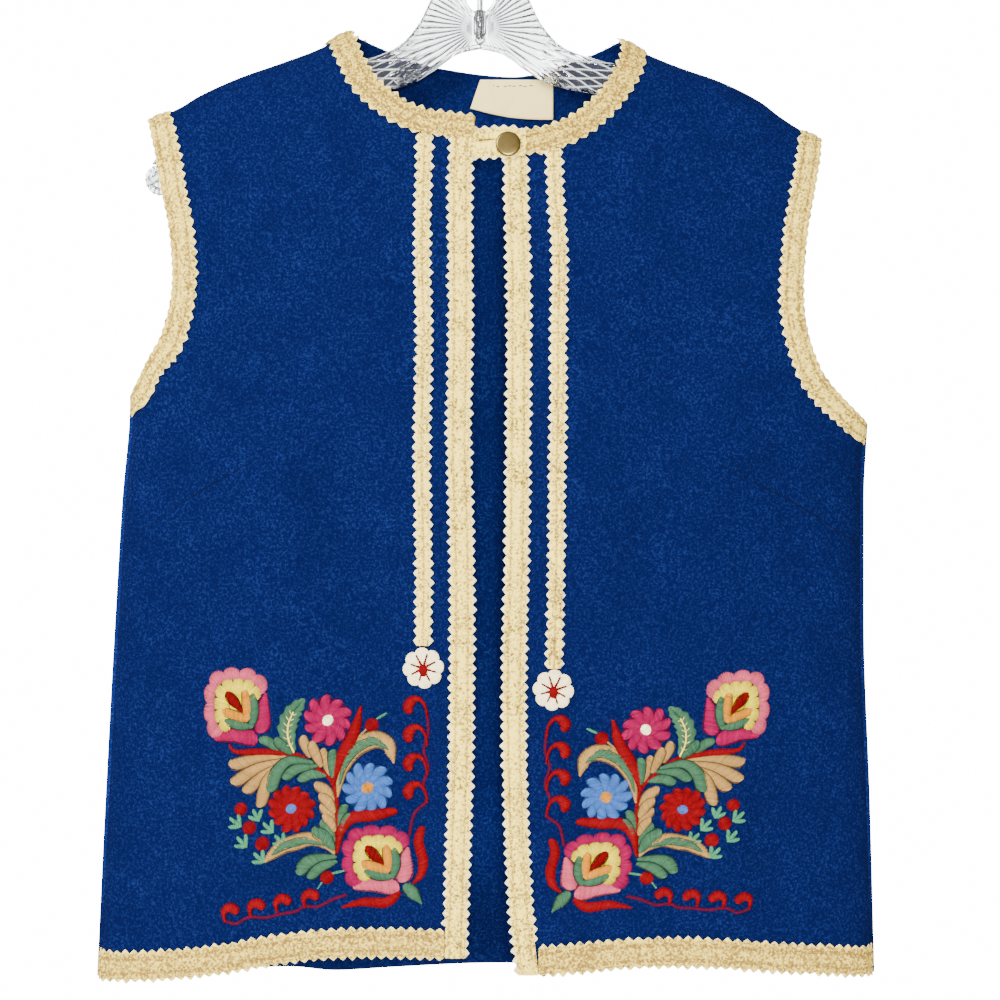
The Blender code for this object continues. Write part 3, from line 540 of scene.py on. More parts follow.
# Creases but for the darts: start, bend and end, across and up; half width and depth.
FRONT_CREASES = (
    # drag lines from the underarm and round the dart tips
    (-205, -372, -178, -392, -150, -400, 7, 1.3),
    (212, -385, 186, -402, 158, -408, 7, 1.3),
    (-112, -400, -96, -430, -92, -470, 9, 1.2),
    (122, -404, 108, -438, 104, -476, 9, 1.2),
    # cloth that hangs from the hanger's arms
    (-150, -170, -160, -215, -158, -262, 11, 1.3),
    (158, -176, 168, -222, 164, -270, 11, 1.3),
    (-98, -150, -90, -200, -96, -250, 12, -1.1),
    (104, -158, 98, -205, 104, -255, 12, -1.1),
    # ridges beside the long troughs, and soft flares at the hem
    (-110, -260, -66, -360, -48, -470, 16, -1.4),
    (96, -258, 84, -360, 70, -470, 16, -1.4),
    (-205, -560, -212, -650, -206, -735, 14, 1.6),
    (-58, -640, -50, -690, -54, -725, 13, 1.2),
    (66, -600, 74, -660, 70, -725, 14, 1.3),
    (222, -520, 226, -620, 222, -728, 10, 1.5),
    (160, -560, 166, -650, 158, -724, 13, -1.3),
)
BACK_CREASES = (
    (-200, -375, -160, -400, -120, -404, 8, 1.3),
    (206, -380, 168, -398, 130, -410, 8, 1.3),
    (-30, -150, -36, -210, -20, -290, 14, -1.2),
    (46, -152, 52, -220, 38, -300, 14, -1.2),
    (-196, -540, -204, -640, -198, -733, 13, 1.6),
    (206, -520, 214, -630, 208, -731, 13, 1.5),
    (-40, -560, -46, -650, -40, -733, 14, -1.4),
    (66, -590, 60, -670, 66, -731, 14, -1.3),
)
CREASES = (
    # a stitched dart has a sunk seam, and the cloth rolls up on both sides of it
    *(Crease(Face.FRONT, *dart, half_width, depth, True)
      for dart in (DART_RIGHT, DART_LEFT) for half_width, depth in ((1.5, 1.1), (6.5, -0.7))),
    *(Crease(face, *line_of(row[:2], row[2:4], row[4:6]), *row[6:])
      for face, rows in ((Face.FRONT, FRONT_CREASES), (Face.BACK, BACK_CREASES))
      for row in rows),
)


def heights_at(marks: Sequence[Mark], x: Array) -> Array:
    """Read the height of a line of marks at places across."""
    return read_table([m.x for m in marks], [m.z for m in marks], x)


@dataclass(frozen=True)
class VestForm:
    """The smooth form that all the cloth lies on."""

    mid: float = 8.0
    roundness: float = 2.4
    shoulder_fold: float = 120.0
    fold_roundness: float = 2.2
    gap: float = 0.3
    seam_sink: float = 0.7
    seam_half: float = 2.2
    half_girth: float = 262.0
    usual_width: float = 240.0
    usual_depth: float = 35.0
    ripple: float = 0.25
    probe: float = 0.003                 # share of the girth over which a slope is read
    section_steps: int = 180
    crease_steps: int = 24

    def arcs(self) -> tuple[Array, Array]:
        """Give the section's angles and the share of its length at each."""
        angles = np.linspace(0, math.pi / 2, self.section_steps + 1)
        power = 2 / self.roundness
        line = np.stack([self.usual_width * np.sin(angles) ** power,
                         self.usual_depth * np.maximum(np.cos(angles), 0) ** power], axis=-1)
        lengths = run_lengths(line)
        return angles, lengths / lengths[-1]

    def angle_of(self, girth: Array) -> Array:
        """Turn a share of the way round to the side seam into an angle."""
        angles, shares = self.arcs()
        return np.copysign(np.interp(np.minimum(np.abs(girth), 1.0), shares, angles), girth)

    def girth_of(self, angle: Array) -> Array:
        """Turn an angle into a share of the way round; the inverse of angle_of."""
        angles, shares = self.arcs()
        return np.copysign(np.interp(np.abs(angle), angles, shares), angle)

    def shoulder_z(self, x: Array) -> Array:
        """Read the height of the fold over the shoulders."""
        return heights_at(SHOULDER, x)

    def half_width(self, side: Array, z: Array) -> Array:
        """Read the distance from the middle line to a side seam."""
        keys = [level.z for level in BODY]
        right = self.mid - read_table(keys, [level.right_side for level in BODY], z)
        left = read_table(keys, [level.left_side for level in BODY], z) - self.mid
        return np.where(side > 0, left, right)

    def half_depth(self, face: Face, z: Array) -> Array:
        """Read the distance from the seams to the middle of a face."""
        column = [lv.front_depth if face is Face.FRONT else lv.back_depth for lv in BODY]
        return read_table([level.z for level in BODY], column, z)

    def rise(self, drop: Array) -> Array:
        """Give the share of full depth that the fold reaches below the shoulder."""
        left = 1 - np.clip(drop / self.shoulder_fold, 0.0, 1.0)
        return (1 - left ** self.fold_roundness) ** (1 / self.fold_roundness)

    def relief(self, face: Face, x: Array, z: Array) -> Array:
        """Give how far swells, folds and creases move the cloth out.

        Args:
            face: front or back.
            x: places across.
            z: heights.

        Returns:
            The distance in millimetres, before it fades at seams and shoulder.
        """
        out = self.ripple * (np.sin(x / 31 + z / 57 + 1.3) + np.sin(z / 37 - x / 71 + face.value))
        for bump in SWELLS:
            if bump.face is face:
                reach = np.hypot(x - bump.x, z - bump.z) / bump.spread
                out = out + bump.height * np.exp(-reach * reach)
        for fold in FOLDS:
            if fold.face is not face:
                continue
            along = np.clip((fold.z_top - z) / (fold.z_top - fold.z_low), 0.0, 1.0)
            middle = 2 * fold.x_mid - (fold.x_top + fold.x_low) / 2
            line = (fold.x_top * (1 - along) ** 2 + fold.x_low * along ** 2
                    + 2 * along * (1 - along) * middle)
            reach = (x - line) / fold.half_width
            strength = np.maximum(np.sin(math.pi * along), 0.0) ** 0.7
            out = out - fold.depth * strength * np.exp(-reach * reach)
        for crease in CREASES:
            if crease.face is face:
                out = out - self.crease_depth(crease, x, z)
        return out

    def crease_depth(self, crease: Crease, x: Array, z: Array) -> Array:
        """Give how deep a crease is at each place."""
        t = np.linspace(0, 1, self.crease_steps + 1)
        ends = [np.array(mark) for mark in (crease.start, crease.bend, crease.end)]
        line = (np.outer((1 - t) ** 2, ends[0]) + np.outer(2 * t * (1 - t), ends[1])
                + np.outer(t * t, ends[2]))
        reach = 3.2 * abs(crease.half_width)
        low, high = line.min(axis=0) - reach, line.max(axis=0) + reach
        deep = np.zeros(np.shape(x))
        near = (x > low[0]) & (x < high[0]) & (z > low[1]) & (z < high[1])
        if not near.any():
            return deep
        places = np.stack([x[near], z[near]], axis=-1)
        best = np.full(len(places), 1e9)
        share = np.zeros(len(places))
        for i in range(self.crease_steps):
            step = line[i + 1] - line[i]
            part = np.clip(((places - line[i]) @ step) / (step @ step), 0.0, 1.0)
            distance = np.linalg.norm(places - line[i] - part[:, None] * step, axis=-1)
            closer = distance < best
            best = np.where(closer, distance, best)
            share = np.where(closer, (i + part) / self.crease_steps, share)
        fade = np.minimum((1 - share) / 0.3, 1.0)
        if not crease.open_start:
            fade = np.minimum(fade, share / 0.3)
        deep[near] = crease.depth * ease(fade) * np.exp(-(best / crease.half_width) ** 2)
        return deep

    def point(self, face: Face, girth: Array, z: Array) -> Array:
        """Give points on the outside of the cloth.

        Args:
            face: front or back.
            girth: shares of the way round from the middle line to a side seam.
            z: heights.

        Returns:
            One row of x, y, z in millimetres for each place.
        """
        girth, z = np.broadcast_arrays(np.asarray(girth, float), np.asarray(z, float))
        angle = self.angle_of(girth)
        side = np.where(angle < 0, -1.0, 1.0)
        power = 2 / self.roundness
        seam = np.exp(-((1 - np.abs(girth)) * self.half_girth / self.seam_half) ** 2)
        width = self.half_width(side, z) * np.abs(np.sin(angle)) ** power
        x = self.mid + side * (width - self.seam_sink * seam)
        drop = self.shoulder_z(x) - z
        rise = self.rise(drop)
        out = self.half_depth(face, z) * rise * np.maximum(np.cos(angle), 0.0) ** power
        out = np.where(np.abs(girth) >= 1, 0.0, out)
        across = np.minimum(width / self.half_width(side, z), 1.0)
        relief = self.relief(face, x, z) * (1 - across ** 6) * rise
        fold = np.exp(-(np.maximum(drop, 0.0) / self.seam_half) ** 2)
        return np.stack([x, face.value * (self.gap / 2 + out + relief),
                         z - self.seam_sink * fold], axis=-1)

    def normal(self, face: Face, girth: Array, z: Array) -> Array:
        """Give the cloth's outward direction at each place, square to seams that it meets."""
        girth, z = np.broadcast_arrays(np.asarray(girth, float), np.asarray(z, float))
        low = np.maximum(girth - self.probe, -1.0)
        high = np.minimum(girth + self.probe, 1.0)
        here = self.point(face, girth, z)
        drop = self.shoulder_z(here[..., 0]) - z
        up = np.minimum(0.5, np.maximum(drop, 0.0))
        round_body = self.point(face, high, z) - self.point(face, low, z)
        upward = self.point(face, girth, z + up) - self.point(face, girth, z - 0.5)
        normal = unit(np.cross(round_body, upward))
        normal = np.where(normal[..., 1:2] * face.value < 0, -normal, normal)
        side = np.abs(girth) >= 0.9999
        top = drop < 0.05
        flat = normal.copy()
        flat[..., 1] = 0.0
        small = np.linalg.norm(flat, axis=-1) < 1e-6
        flat[small] = (0.0, 0.0, 1.0)
        flat = np.where((top & (flat[..., 2] < 0))[..., None], -flat, flat)
        flat = np.where((side & (flat[..., 0] * girth < 0))[..., None], -flat, flat)
        return np.where((side | top)[..., None], unit(flat), normal)

    def girth_at(self, x: Array, z: Array) -> Array:
        """Give the girth share of places seen square on."""
        x, z = np.asarray(x, float), np.asarray(z, float)
        side = np.where(x < self.mid, -1.0, 1.0)
        share = np.minimum(np.abs(x - self.mid) / self.half_width(side, z), 1.0)
        return self.girth_of(side * np.arcsin(share ** (self.roundness / 2)))

    def locate(self, face: Face, points: Array) -> tuple[Array, Array]:
        """Find girth share and height of points that lie close to the form.

        Args:
            face: front or back.
            points: rows of x, y, z.

        Returns:
            The girth shares and the heights.
        """
        x, y, z = points[..., 0], points[..., 1], points[..., 2]
        side = np.where(x < self.mid, -1.0, 1.0)
        across = np.abs(x - self.mid) / self.half_width(side, z)
        by_width = np.arcsin(np.minimum(across, 1.0) ** (self.roundness / 2))
        drop = self.shoulder_z(x) - z
        deep = self.half_depth(face, z) * np.maximum(self.rise(drop), 0.05)
        fade = (1 - np.minimum(across, 1.0) ** 6) * self.rise(drop)
        out = np.maximum(y * face.value - self.gap / 2 - self.relief(face, x, z) * fade, 0.0) / deep
        power = self.roundness / 2
        by_both = np.arctan2(across ** power, np.maximum(out, 1e-6) ** power)
        share = np.clip((across - 0.75) / 0.15, 0, 1) * np.clip(np.maximum(drop, 0) / 40, 0, 1)
        return self.girth_of(side * (by_width * (1 - share) + by_both * share)), z

    def raised(self, face: Face, girth: Array, z: Array, lift: Array) -> Array:
        """Give points at girth shares and heights, moved out from the cloth by lift."""
        return self.point(face, girth, z) + self.normal(face, girth, z) * lift[..., None]

    def lay(self, face: Face, x: Array, z: Array, lift: Array) -> Array:
        """Lay places seen square on over a face of the vest, moved out by lift."""
        return self.raised(face, self.girth_at(x, z), z, np.asarray(lift, float))

    def spot(self, face: Face, mark: Mark, lift: float) -> Array:
        """Lay one place seen square on."""
        return self.lay(face, np.array([mark.x]), np.array([mark.z]), np.array([lift]))[0]


FORM = VestForm()


class Edge:
    """A smooth edge on one face of the vest, read by its true length."""

    def __init__(self, face: Face, marks: Sequence[Mark]) -> None:
        """Run the edge through its marks."""
        self.face = face
        line = smooth_line(marks)
        self.girths = FORM.girth_at(line[:, 0], line[:, 1])
        self.heights = line[:, 1]
        self.points = FORM.point(face, self.girths, self.heights)
        self.lengths = run_lengths(self.points)
        self.length = float(self.lengths[-1])

    def at(self, length: Array) -> tuple[Array, Array]:
        """Give girth share and height at lengths along the edge."""
        length = np.clip(length, 0.0, self.length)
        return (np.interp(length, self.lengths, self.girths),
                np.interp(length, self.lengths, self.heights))

    def to_x(self, x: float) -> float:
        """Give the length at which the edge first passes a place across the body."""
        sides = self.points[:, 0] - x
        for i in range(len(sides) - 1):
            if sides[i] * sides[i + 1] <= 0 and sides[i] != sides[i + 1]:
                step = self.lengths[i + 1] - self.lengths[i]
                return float(self.lengths[i] + step * sides[i] / (sides[i] - sides[i + 1]))
        return self.length


def grid_faces(rows: int, columns: int, start: int = 0, flip: bool = False) -> Faces:
    """List the quads of a grid of points.

    Args:
        rows: rows of points.
        columns: points in a row.
        start: number of the first point.
        flip: whether the quads face the other way.

    Returns:
        The four corners of each quad.
    """
    r, c = np.meshgrid(np.arange(rows - 1), np.arange(columns - 1), indexing="ij")
    a = (start + r * columns + c).ravel()
    quads = np.stack([a, a + 1, a + columns + 1, a + columns], axis=-1)
    return [tuple(q) for q in (quads[:, ::-1] if flip else quads).tolist()]


def border(rows: int, columns: int) -> tuple[list[int], list[int]]:
    """List a grid's border points in order, and the point inside of each."""
    index = np.arange(rows * columns).reshape(rows, columns)
    loop = [*index[0, :-1], *index[:-1, -1], *index[-1, :0:-1], *index[:0:-1, 0]]
    inner_r = np.clip(np.arange(rows), 1, rows - 2) if rows > 2 else np.arange(rows)
    inner_c = np.clip(np.arange(columns), 1, columns - 2) if columns > 2 else np.arange(columns)
    inside = index[np.ix_(inner_r, inner_c)].ravel()
    return [int(i) for i in loop], [int(inside[i]) for i in loop]


def wall(name: str, outer: Array, inner: Array, material: Material,
         bulge: float = 0.22, tone: Optional[Array] = None) -> Piece:
    """Make a closed wall of cloth from a grid of outer and of inner points.

    Args:
        name: the piece's name.
        outer: rows by columns of x, y, z on the side that shows.
        inner: the same on the other side.
        material: the cloth.
        bulge: how round its cut edge is, as a share of the wall.
        tone: of each grid point: up to 1 for a painted highlight on cut teeth, down to -1 and below for painted shade
            where it is pressed and for darker bands.

    Returns:
        The wall's object, faces outwards.
    """
    rows, columns = outer.shape[:2]
    count = rows * columns
    flat_outer, flat_inner = outer.reshape(-1, 3), inner.reshape(-1, 3)
    loop, inside = border(rows, columns)
    middle = (flat_outer[loop] + flat_inner[loop]) / 2
    middle_in = (flat_outer[inside] + flat_inner[inside]) / 2
    thick = np.linalg.norm(flat_outer[loop] - flat_inner[loop], axis=-1, keepdims=True)
    middle = middle + unit(middle - middle_in) * thick * bulge
    points = np.concatenate([flat_outer, flat_inner, middle])
    r, c = rows // 2, columns // 2
    along = outer[min(r + 1, rows - 1), c] - outer[max(r - 1, 0), c]
    across = outer[r, min(c + 1, columns - 1)] - outer[r, max(c - 1, 0)]
    out = outer[r, c] - inner[r, c]
    flip = bool(np.dot(np.cross(across, along), out) < 0)
    faces = grid_faces(rows, columns, 0, flip) + grid_faces(rows, columns, count, not flip)
    total = len(loop)
    for i in range(total):
        j = (i + 1) % total
        for a, b, c2, d in ((loop[i], loop[j], 2 * count + j, 2 * count + i),
                            (2 * count + i, 2 * count + j, count + loop[j], count + loop[i])):
            faces.append((a, b, c2, d) if flip else (d, c2, b, a))
    piece = mesh_object(name, points, faces, material)
    if tone is not None:
        flat = tone.ravel()
        mark_points(piece.data, "felt_tone", np.concatenate([flat, flat, flat[loop]]))
    return piece


# -------------------------------------------------------------------- finishes
@dataclass(frozen=True)
class Finish:
    """A surface's look, as a material made by rule."""

    name: str

    def paint(self, nodes: Nodes) -> dict[str, Any]:
        """Give the shader's inputs by name, as plain values or as sockets."""
        raise NotImplementedError

    def build(self) -> Material:
        """Make the material."""
        material = bpy.data.materials.new(self.name)
        material.use_nodes = True
        tree = material.node_tree
        set_inputs(tree, tree.nodes["Principled BSDF"], self.paint(Nodes(tree)))
        return material


@dataclass(frozen=True)
class WoolFinish(Finish):
    """Boiled wool, dyed royal blue: a deep mat ground with fine paler fibres."""

    name: str = "boiled_wool_royal_blue"
    ground: str = "#030934"
    shade: str = "#02082D"
    fibre: str = "#1D3061"
    fibre_mm: float = 1.5        # coarser than a real fibre, so that it shows
    cloud_mm: float = 26.0
    nap: float = 0.5
    reverse: float = 2.2         # painted light: how much brighter the inner side is made where the fronts shade it

    def paint(self, nodes: Nodes) -> dict[str, Any]:
        """Mottle the ground, scatter pale flecks on it and raise a soft nap; paint light onto the inner side where it
        is shaded.
        """
        clouds = nodes.noise(self.cloud_mm, 3.0)
        fibres = nodes.noise(self.fibre_mm, 3.0, Roughness=0.7, Lacunarity=2.3)
        fleck = nodes.math("MULTIPLY", nodes.remap(fibres, 0.48, 0.86),
                           nodes.remap(clouds, 0.3, 0.7, 0.55, 1.0))
        colour = nodes.mix(fleck, nodes.mix(clouds, self.shade, self.ground), self.fibre)
        # painted light: brighten the inner side by the share that is marked on the mesh
        value = nodes.remap(nodes.attribute("reverse_side"), 0.0, 1.0, 1.0, self.reverse)
        return {"Base Color": nodes.brighten(colour, value),
                "Normal": nodes.bump(fibres, self.nap, 0.4),
                "Roughness": 0.95, "Specular IOR Level": 0.03}


@dataclass(frozen=True)
class FeltFinish(Finish):
    """Pressed wool felt: warm, mat, with clumped short fibres."""

    light: str
    dark: str
    # the darkest colour, for painted shade in channels and seams and on darker bands
    pressed: str
    # the teeth's paler colour, a painted highlight where light catches the cut edges
    pinked: str
    clump_mm: float = 1.7
    cloud_mm: float = 14.0

    def paint(self, nodes: Nodes) -> dict[str, Any]:
        """Cloud and clump the felt; paint shade in its pressed channels and on darker bands, and a highlight on its
        cut teeth.
        """
        clumps = nodes.noise(self.clump_mm, 4.0, Roughness=0.62)
        clouds = nodes.noise(self.cloud_mm, 2.0)
        soft = nodes.math("MULTIPLY_ADD", clouds, 0.22, nodes.math("MULTIPLY", clumps, 0.78))
        body = nodes.mix(nodes.remap(soft, 0.38, 0.53), self.dark, self.light)
        # painted light read from the mesh: below 0 painted shade and darkening, above 0 a painted highlight
        tone = nodes.attribute("felt_tone")
        dark_share = nodes.math("MULTIPLY", nodes.remap(tone, 0.0, DEEPEST_TONE, 0.0, 0.88),
                          nodes.remap(clumps, 0.42, 0.6, 1.35, 0.45))
        deep = nodes.mix(dark_share, body, self.pressed)
        return {"Base Color": nodes.mix(nodes.remap(tone, 0.0, 1.0), deep, self.pinked),
                "Normal": nodes.bump(clumps, 0.8, 0.6),
                "Roughness": 0.92, "Specular IOR Level": 0.1}


@dataclass(frozen=True)
class ThreadFinish(Finish):
    """Wool embroidery thread; each stitch carries its own dye."""

    name: str = "embroidery_wool_thread"

    def paint(self, nodes: Nodes) -> dict[str, Any]:
        """Take the stitch's dye, a little uneven, and give it a soft gloss."""
        fuzz = nodes.noise(0.9, 2.0)
        value = nodes.remap(fuzz, 0.3, 0.7, 0.82, 1.14)
        return {"Base Color": nodes.brighten(nodes.attribute("thread_colour", "Color"), value),
                "Normal": nodes.bump(fuzz, 0.25, 0.2),
                "Roughness": 0.7, "Specular IOR Level": 0.06}


@dataclass(frozen=True)
class MetalFinish(Finish):
    """Bare metal; wear_mm is the size of its tarnish or draw marks."""

    colour: str
    dull: str
    roughness: float
    wear_mm: float

    def paint(self, nodes: Nodes) -> dict[str, Any]:
        """Cloud the metal with tarnish, duller where it is darker."""
        wear = nodes.noise(self.wear_mm, 4.0)
        return {"Base Color": nodes.mix(nodes.remap(wear, 0.35, 0.65), self.dull, self.colour),
                "Roughness": nodes.remap(wear, 0.3, 0.7, self.roughness + 0.12, self.roughness),
                "Metallic": 1.0}


class Fan(NamedTuple):
    """Ribs that fan out from a centre: how many in a half turn, and how narrow."""

    x: float
    z: float
    ribs: float
    narrow: float


@dataclass(frozen=True)
class ClearPlasticFinish(Finish):
    """Injection-moulded clear polystyrene: glossy, with fine ribs fanning from the sleeve."""

    name: str = "moulded_clear_polystyrene"
    tint: str = "#F4F8FA"
    fans: tuple[Fan, Fan, Fan] = (Fan(0.0, -117.5, 26.0, -0.2), Fan(4.0, -110.0, 46.0, 0.55),
                                  Fan(214.0, -150.0, 84.0, 0.55))
    rib_mm: float = 2.2
    stray: float = 1.8           # radians a rib strays from even spacing
    stray_mm: float = 13.0

    def crests(self, nodes: Nodes, side: Socket, height: Socket, fan: Fan,
               stray: Socket) -> Socket:
        """Draw one fan, mirrored at the middle plane: 0 between two ribs, 1 on a crest.

        Args:
            nodes: the material's nodes.
            side: distance from the middle plane.
            height: height.
            fan: its centre in millimetres and its ribs.
            stray: noise that spreads the ribs unevenly.

        Returns:
            The crests' share.
        """
        turn = nodes.math("ARCTAN2", nodes.math("SUBTRACT", height, fan.z * MM),
                          nodes.math("SUBTRACT", side, fan.x * MM))
        phase = nodes.math("MULTIPLY_ADD", turn, 2 * fan.ribs,
                           nodes.math("MULTIPLY", stray, self.stray))
        return nodes.remap(nodes.math("SINE", phase), fan.narrow, 1.0, kind="SMOOTHSTEP")

    def paint(self, nodes: Nodes) -> dict[str, Any]:
        """Raise the ribs in clear plastic, with a painted highlight on the arms' crests, where it is partly opaque
        white.
        """
        axes = add_node(nodes.tree, "ShaderNodeSeparateXYZ", None, {"Vector": nodes.place()})
        side = nodes.math("ABSOLUTE", axes.outputs["X"])
        stray = nodes.noise(self.stray_mm, 1.0)
        middle, along, across = (self.crests(nodes, side, axes.outputs["Z"], fan, stray)
                                 for fan in self.fans)
        arms = nodes.math("MAXIMUM", along, across)
        far = nodes.remap(side, 36 * MM, 62 * MM, kind="SMOOTHSTEP")
        near = nodes.remap(side, 4.4 * MM, 8 * MM, kind="SMOOTHSTEP")
        ribs = nodes.out("ShaderNodeMix", {0: far, 2: nodes.math("MULTIPLY", middle, near),
                                           3: arms})
        # painted highlight: less transmission on the arms' crests, so that they show white as if catching light
        crest_highlight = nodes.remap(nodes.math("MULTIPLY", far, arms), 0.5, 1.0, 1.0, 0.4, "SMOOTHSTEP")
        return {"Base Color": linear(self.tint), "Normal": nodes.bump(ribs, 1.0, self.rib_mm),
                "Transmission Weight": crest_highlight, "IOR": 1.55, "Specular IOR Level": 0.22,
                "Roughness": 0.04}


@dataclass(frozen=True)
class TapeFinish(Finish):
    """Plain woven cotton tape, off-white."""

    name: str = "woven_cotton_tape"
    light: str = "#FFE28C"
    dark: str = "#EBD48C"
    thread_mm: float = 0.8       # coarser than the real weave, so that it shows

    def paint(self, nodes: Nodes) -> dict[str, Any]:
        """Draw a fine plain weave in colour and relief."""
        weave = nodes.math("MULTIPLY", *(
            nodes.out("ShaderNodeTexWave", {"Vector": nodes.place(), "Distortion": 0.6,
                                            "Scale": 0.32 / (self.thread_mm * MM)},
                      "Fac", bands_direction=axis) for axis in ("X", "Z")))
        return {"Base Color": nodes.mix(weave, self.dark, self.light),
                "Normal": nodes.bump(weave, 0.3, 0.2),
                "Roughness": 0.85, "Specular IOR Level": 0.25}


# ---------------------------------------------------------------------- panels
def joined(parts: Sequence[tuple[Array, Array]]) -> list[Array]:
    """Join stretches of girth shares and heights end to end."""
    return [np.concatenate(column) for column in zip(*parts)]


@dataclass
class ClothPanel:
    """One blue piece of the vest, as a wall of wool on the form."""

    lit_z: ClassVar[float] = -165.0      # above this the inner side is in full light
    lit_fade: ClassVar[float] = 70.0
    low_z: ClassVar[float] = -640.0      # and so it is from here down
    name: str
    face: Face
    thickness: float = 2.5
    fold_drop: float = 11.0              # rows crowd over this length below the fold
    fold_rows: int = 8
    crowding: float = 1.25

    def places(self) -> tuple[Array, Array]:
        """Give the girth share and height of each grid point."""
        raise NotImplementedError

    def fold(self) -> Array:
        """Give the lengths of the crowded rows below the shoulder fold."""
        return self.fold_drop * np.linspace(0, 1, self.fold_rows, endpoint=False) ** 1.7

    def span(self, start: list[Array], end: list[Array], share: Array, top: Array, low: Array,
             top_z: Callable[[Array], Array], hem: Sequence[Mark]) -> tuple[Array, Array]:
        """Span rows from one edge to the other and settle them on the top line and the hem.

        Args:
            start: girth share and height of each row's first point.
            end: the same of its last point.
            share: how far across each column stands.
            top: how closely each row follows the top line.
            low: how closely it follows the hem.
            top_z: reads the height of the top line at places across.
            hem: the hem's marks.

        Returns:
            The girth share and height of each grid point.
        """
        girth, z = (a[:, None] * (1 - share) + b[:, None] * share for a, b in zip(start, end))
        x = FORM.point(self.face, girth, z)[..., 0]
        moved = (z + top[:, None] * (top_z(x) - z[0])
                 + low[:, None] * (heights_at(hem, x) - z[-1]))
        z[:, 1:-1] = moved[:, 1:-1]
        return girth, z

    def build(self, wool: Material) -> Piece:
        """Make the wall.

        Args:
            wool: the panel's material.

        Returns:
            The panel's object, riding on the body and standing for its solid.
        """
        girths, heights = self.places()
        outer = FORM.point(self.face, girths, heights)
        inner = outer - FORM.normal(self.face, girths, heights) * self.thickness
        piece = wall(self.name + "_cloth", outer, inner, wool)
        count = outer.shape[0] * outer.shape[1]
        # painted light: mark the inner side for brightening, fully where the fronts shade it, and least near the neck
        side = np.zeros(len(piece.data.vertices))
        shaded = (ease((self.lit_z - heights) / self.lit_fade)
                  * ease((heights - self.low_z) / self.lit_fade + 1))
        side[count:2 * count] = (0.1 + 0.9 * shaded).ravel()
        mark_points(piece.data, "reverse_side", side)
        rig.ride(piece, "root")
        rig.replaces(piece, self.name)
        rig.slot(piece, "blue_wool")
        LOG.info("%s: %d faces", piece.name, len(piece.data.polygons))
        return piece


@dataclass
class FrontPanel(ClothPanel):
    """A front: in rows from the shoulder, past the armhole, to the hem."""

    neck: Sequence[Mark] = ()
    opening: Sequence[Mark] = ()
    armhole: Sequence[Mark] = ()
    hem: Sequence[Mark] = ()
    neck_rows: int = 34
    armhole_rows: int = 54
    side_rows: int = 98
    columns: int = 78
    corner_share: float = 0.34           # of the armhole, level with the neck's corner

    def places(self) -> tuple[Array, Array]:
        """Give the grid, whose rows run from the opening to the armhole or side."""
        neck, opening, arm = (Edge(self.face, marks)
                              for marks in (self.neck, self.opening, self.armhole))
        corner = arm.length * self.corner_share
        under_girth, under_z = (float(v) for v in arm.at(arm.length))
        under_share = (under_z - self.opening[0].z) / (self.hem[-1].z - self.opening[0].z)
        fold, start = self.fold(), self.fold_drop
        t1 = np.linspace(0, 1, self.neck_rows, endpoint=False)
        t2 = np.linspace(0, 1, self.armhole_rows, endpoint=False)
        t3 = np.linspace(0, 1, self.side_rows)
        inner = joined([neck.at(fold), neck.at(start + (neck.length - start) * t1),
                        opening.at(opening.length * under_share * t2),
                        opening.at(opening.length * (under_share + (1 - under_share) * t3))])
        outer = joined([arm.at(fold), arm.at(start + (corner - start) * t1),
                        arm.at(corner + (arm.length - corner) * t2),
                        (np.full(len(t3), math.copysign(1, under_girth)),
                         under_z + (self.hem[0].z - under_z) * t3)])
        top = np.concatenate([np.ones(len(fold)), 1 - t1, np.zeros(len(t2) + len(t3))])
        low = np.concatenate([np.zeros(len(fold) + len(t1) + len(t2)), t3 ** 2])
        share = 1 - (1 - np.linspace(0, 1, self.columns + 1)) ** self.crowding
        return self.span(inner, outer, share, top, low, FORM.shoulder_z, self.hem)


@dataclass
class BackPanel(ClothPanel):
    """The back: one piece, in rows from the neck and shoulders to the hem."""

    armhole_rows: int = 56
    side_rows: int = 84
    neck_columns: int = 44
    shoulder_columns: int = 32

    def top_z(self, x: Array) -> Array:
        """Read the height of the neck line and of the shoulders beside it."""
        at_neck = (x > RIGHT_NECK_POINT.x) & (x < LEFT_NECK_POINT.x)
        return np.where(at_neck, heights_at(BACK_NECK, x), FORM.shoulder_z(x))

    def places(self) -> tuple[Array, Array]:
        """Give the grid, whose rows run from one armhole or side to the other."""
        fold = self.fold()
        t2 = np.linspace(0, 1, self.armhole_rows, endpoint=False)
        t3 = np.linspace(0, 1, self.side_rows)
        sides = []
        for marks, hem_z in ((RIGHT_ARMHOLE, BACK_HEM[0].z), (LEFT_ARMHOLE, BACK_HEM[-1].z)):
            arm = Edge(self.face, marks)
            under_girth, under_z = (float(v) for v in arm.at(arm.length))
            sides.append(joined([
                arm.at(fold), arm.at(self.fold_drop + (arm.length - self.fold_drop) * t2),
                (np.full(len(t3), math.copysign(1, under_girth)),
                 under_z + (hem_z - under_z) * t3)]))
        right, left = sides
        ends = right[0][0], left[0][0]
        necks = [float(FORM.girth_at(*mark)) for mark in (RIGHT_NECK_POINT, LEFT_NECK_POINT)]
        out = np.linspace(0, 1, self.shoulder_columns + 1)
        shares = np.concatenate([
            (necks[0] - ends[0]) * out[:-1] ** self.crowding,
            necks[0] - ends[0] + (necks[1] - necks[0])
            * np.linspace(0, 1, self.neck_columns, endpoint=False),
            ends[1] - ends[0] - (ends[1] - necks[1]) * (1 - out) ** self.crowding])
        top = np.concatenate([np.ones(len(fold)), 1 - t2, np.zeros(len(t3))])
        low = np.concatenate([np.zeros(len(fold) + len(t2)), t3 ** 2])
        return self.span(right, left, shares / (ends[1] - ends[0]), top, low, self.top_z,
                         BACK_HEM)


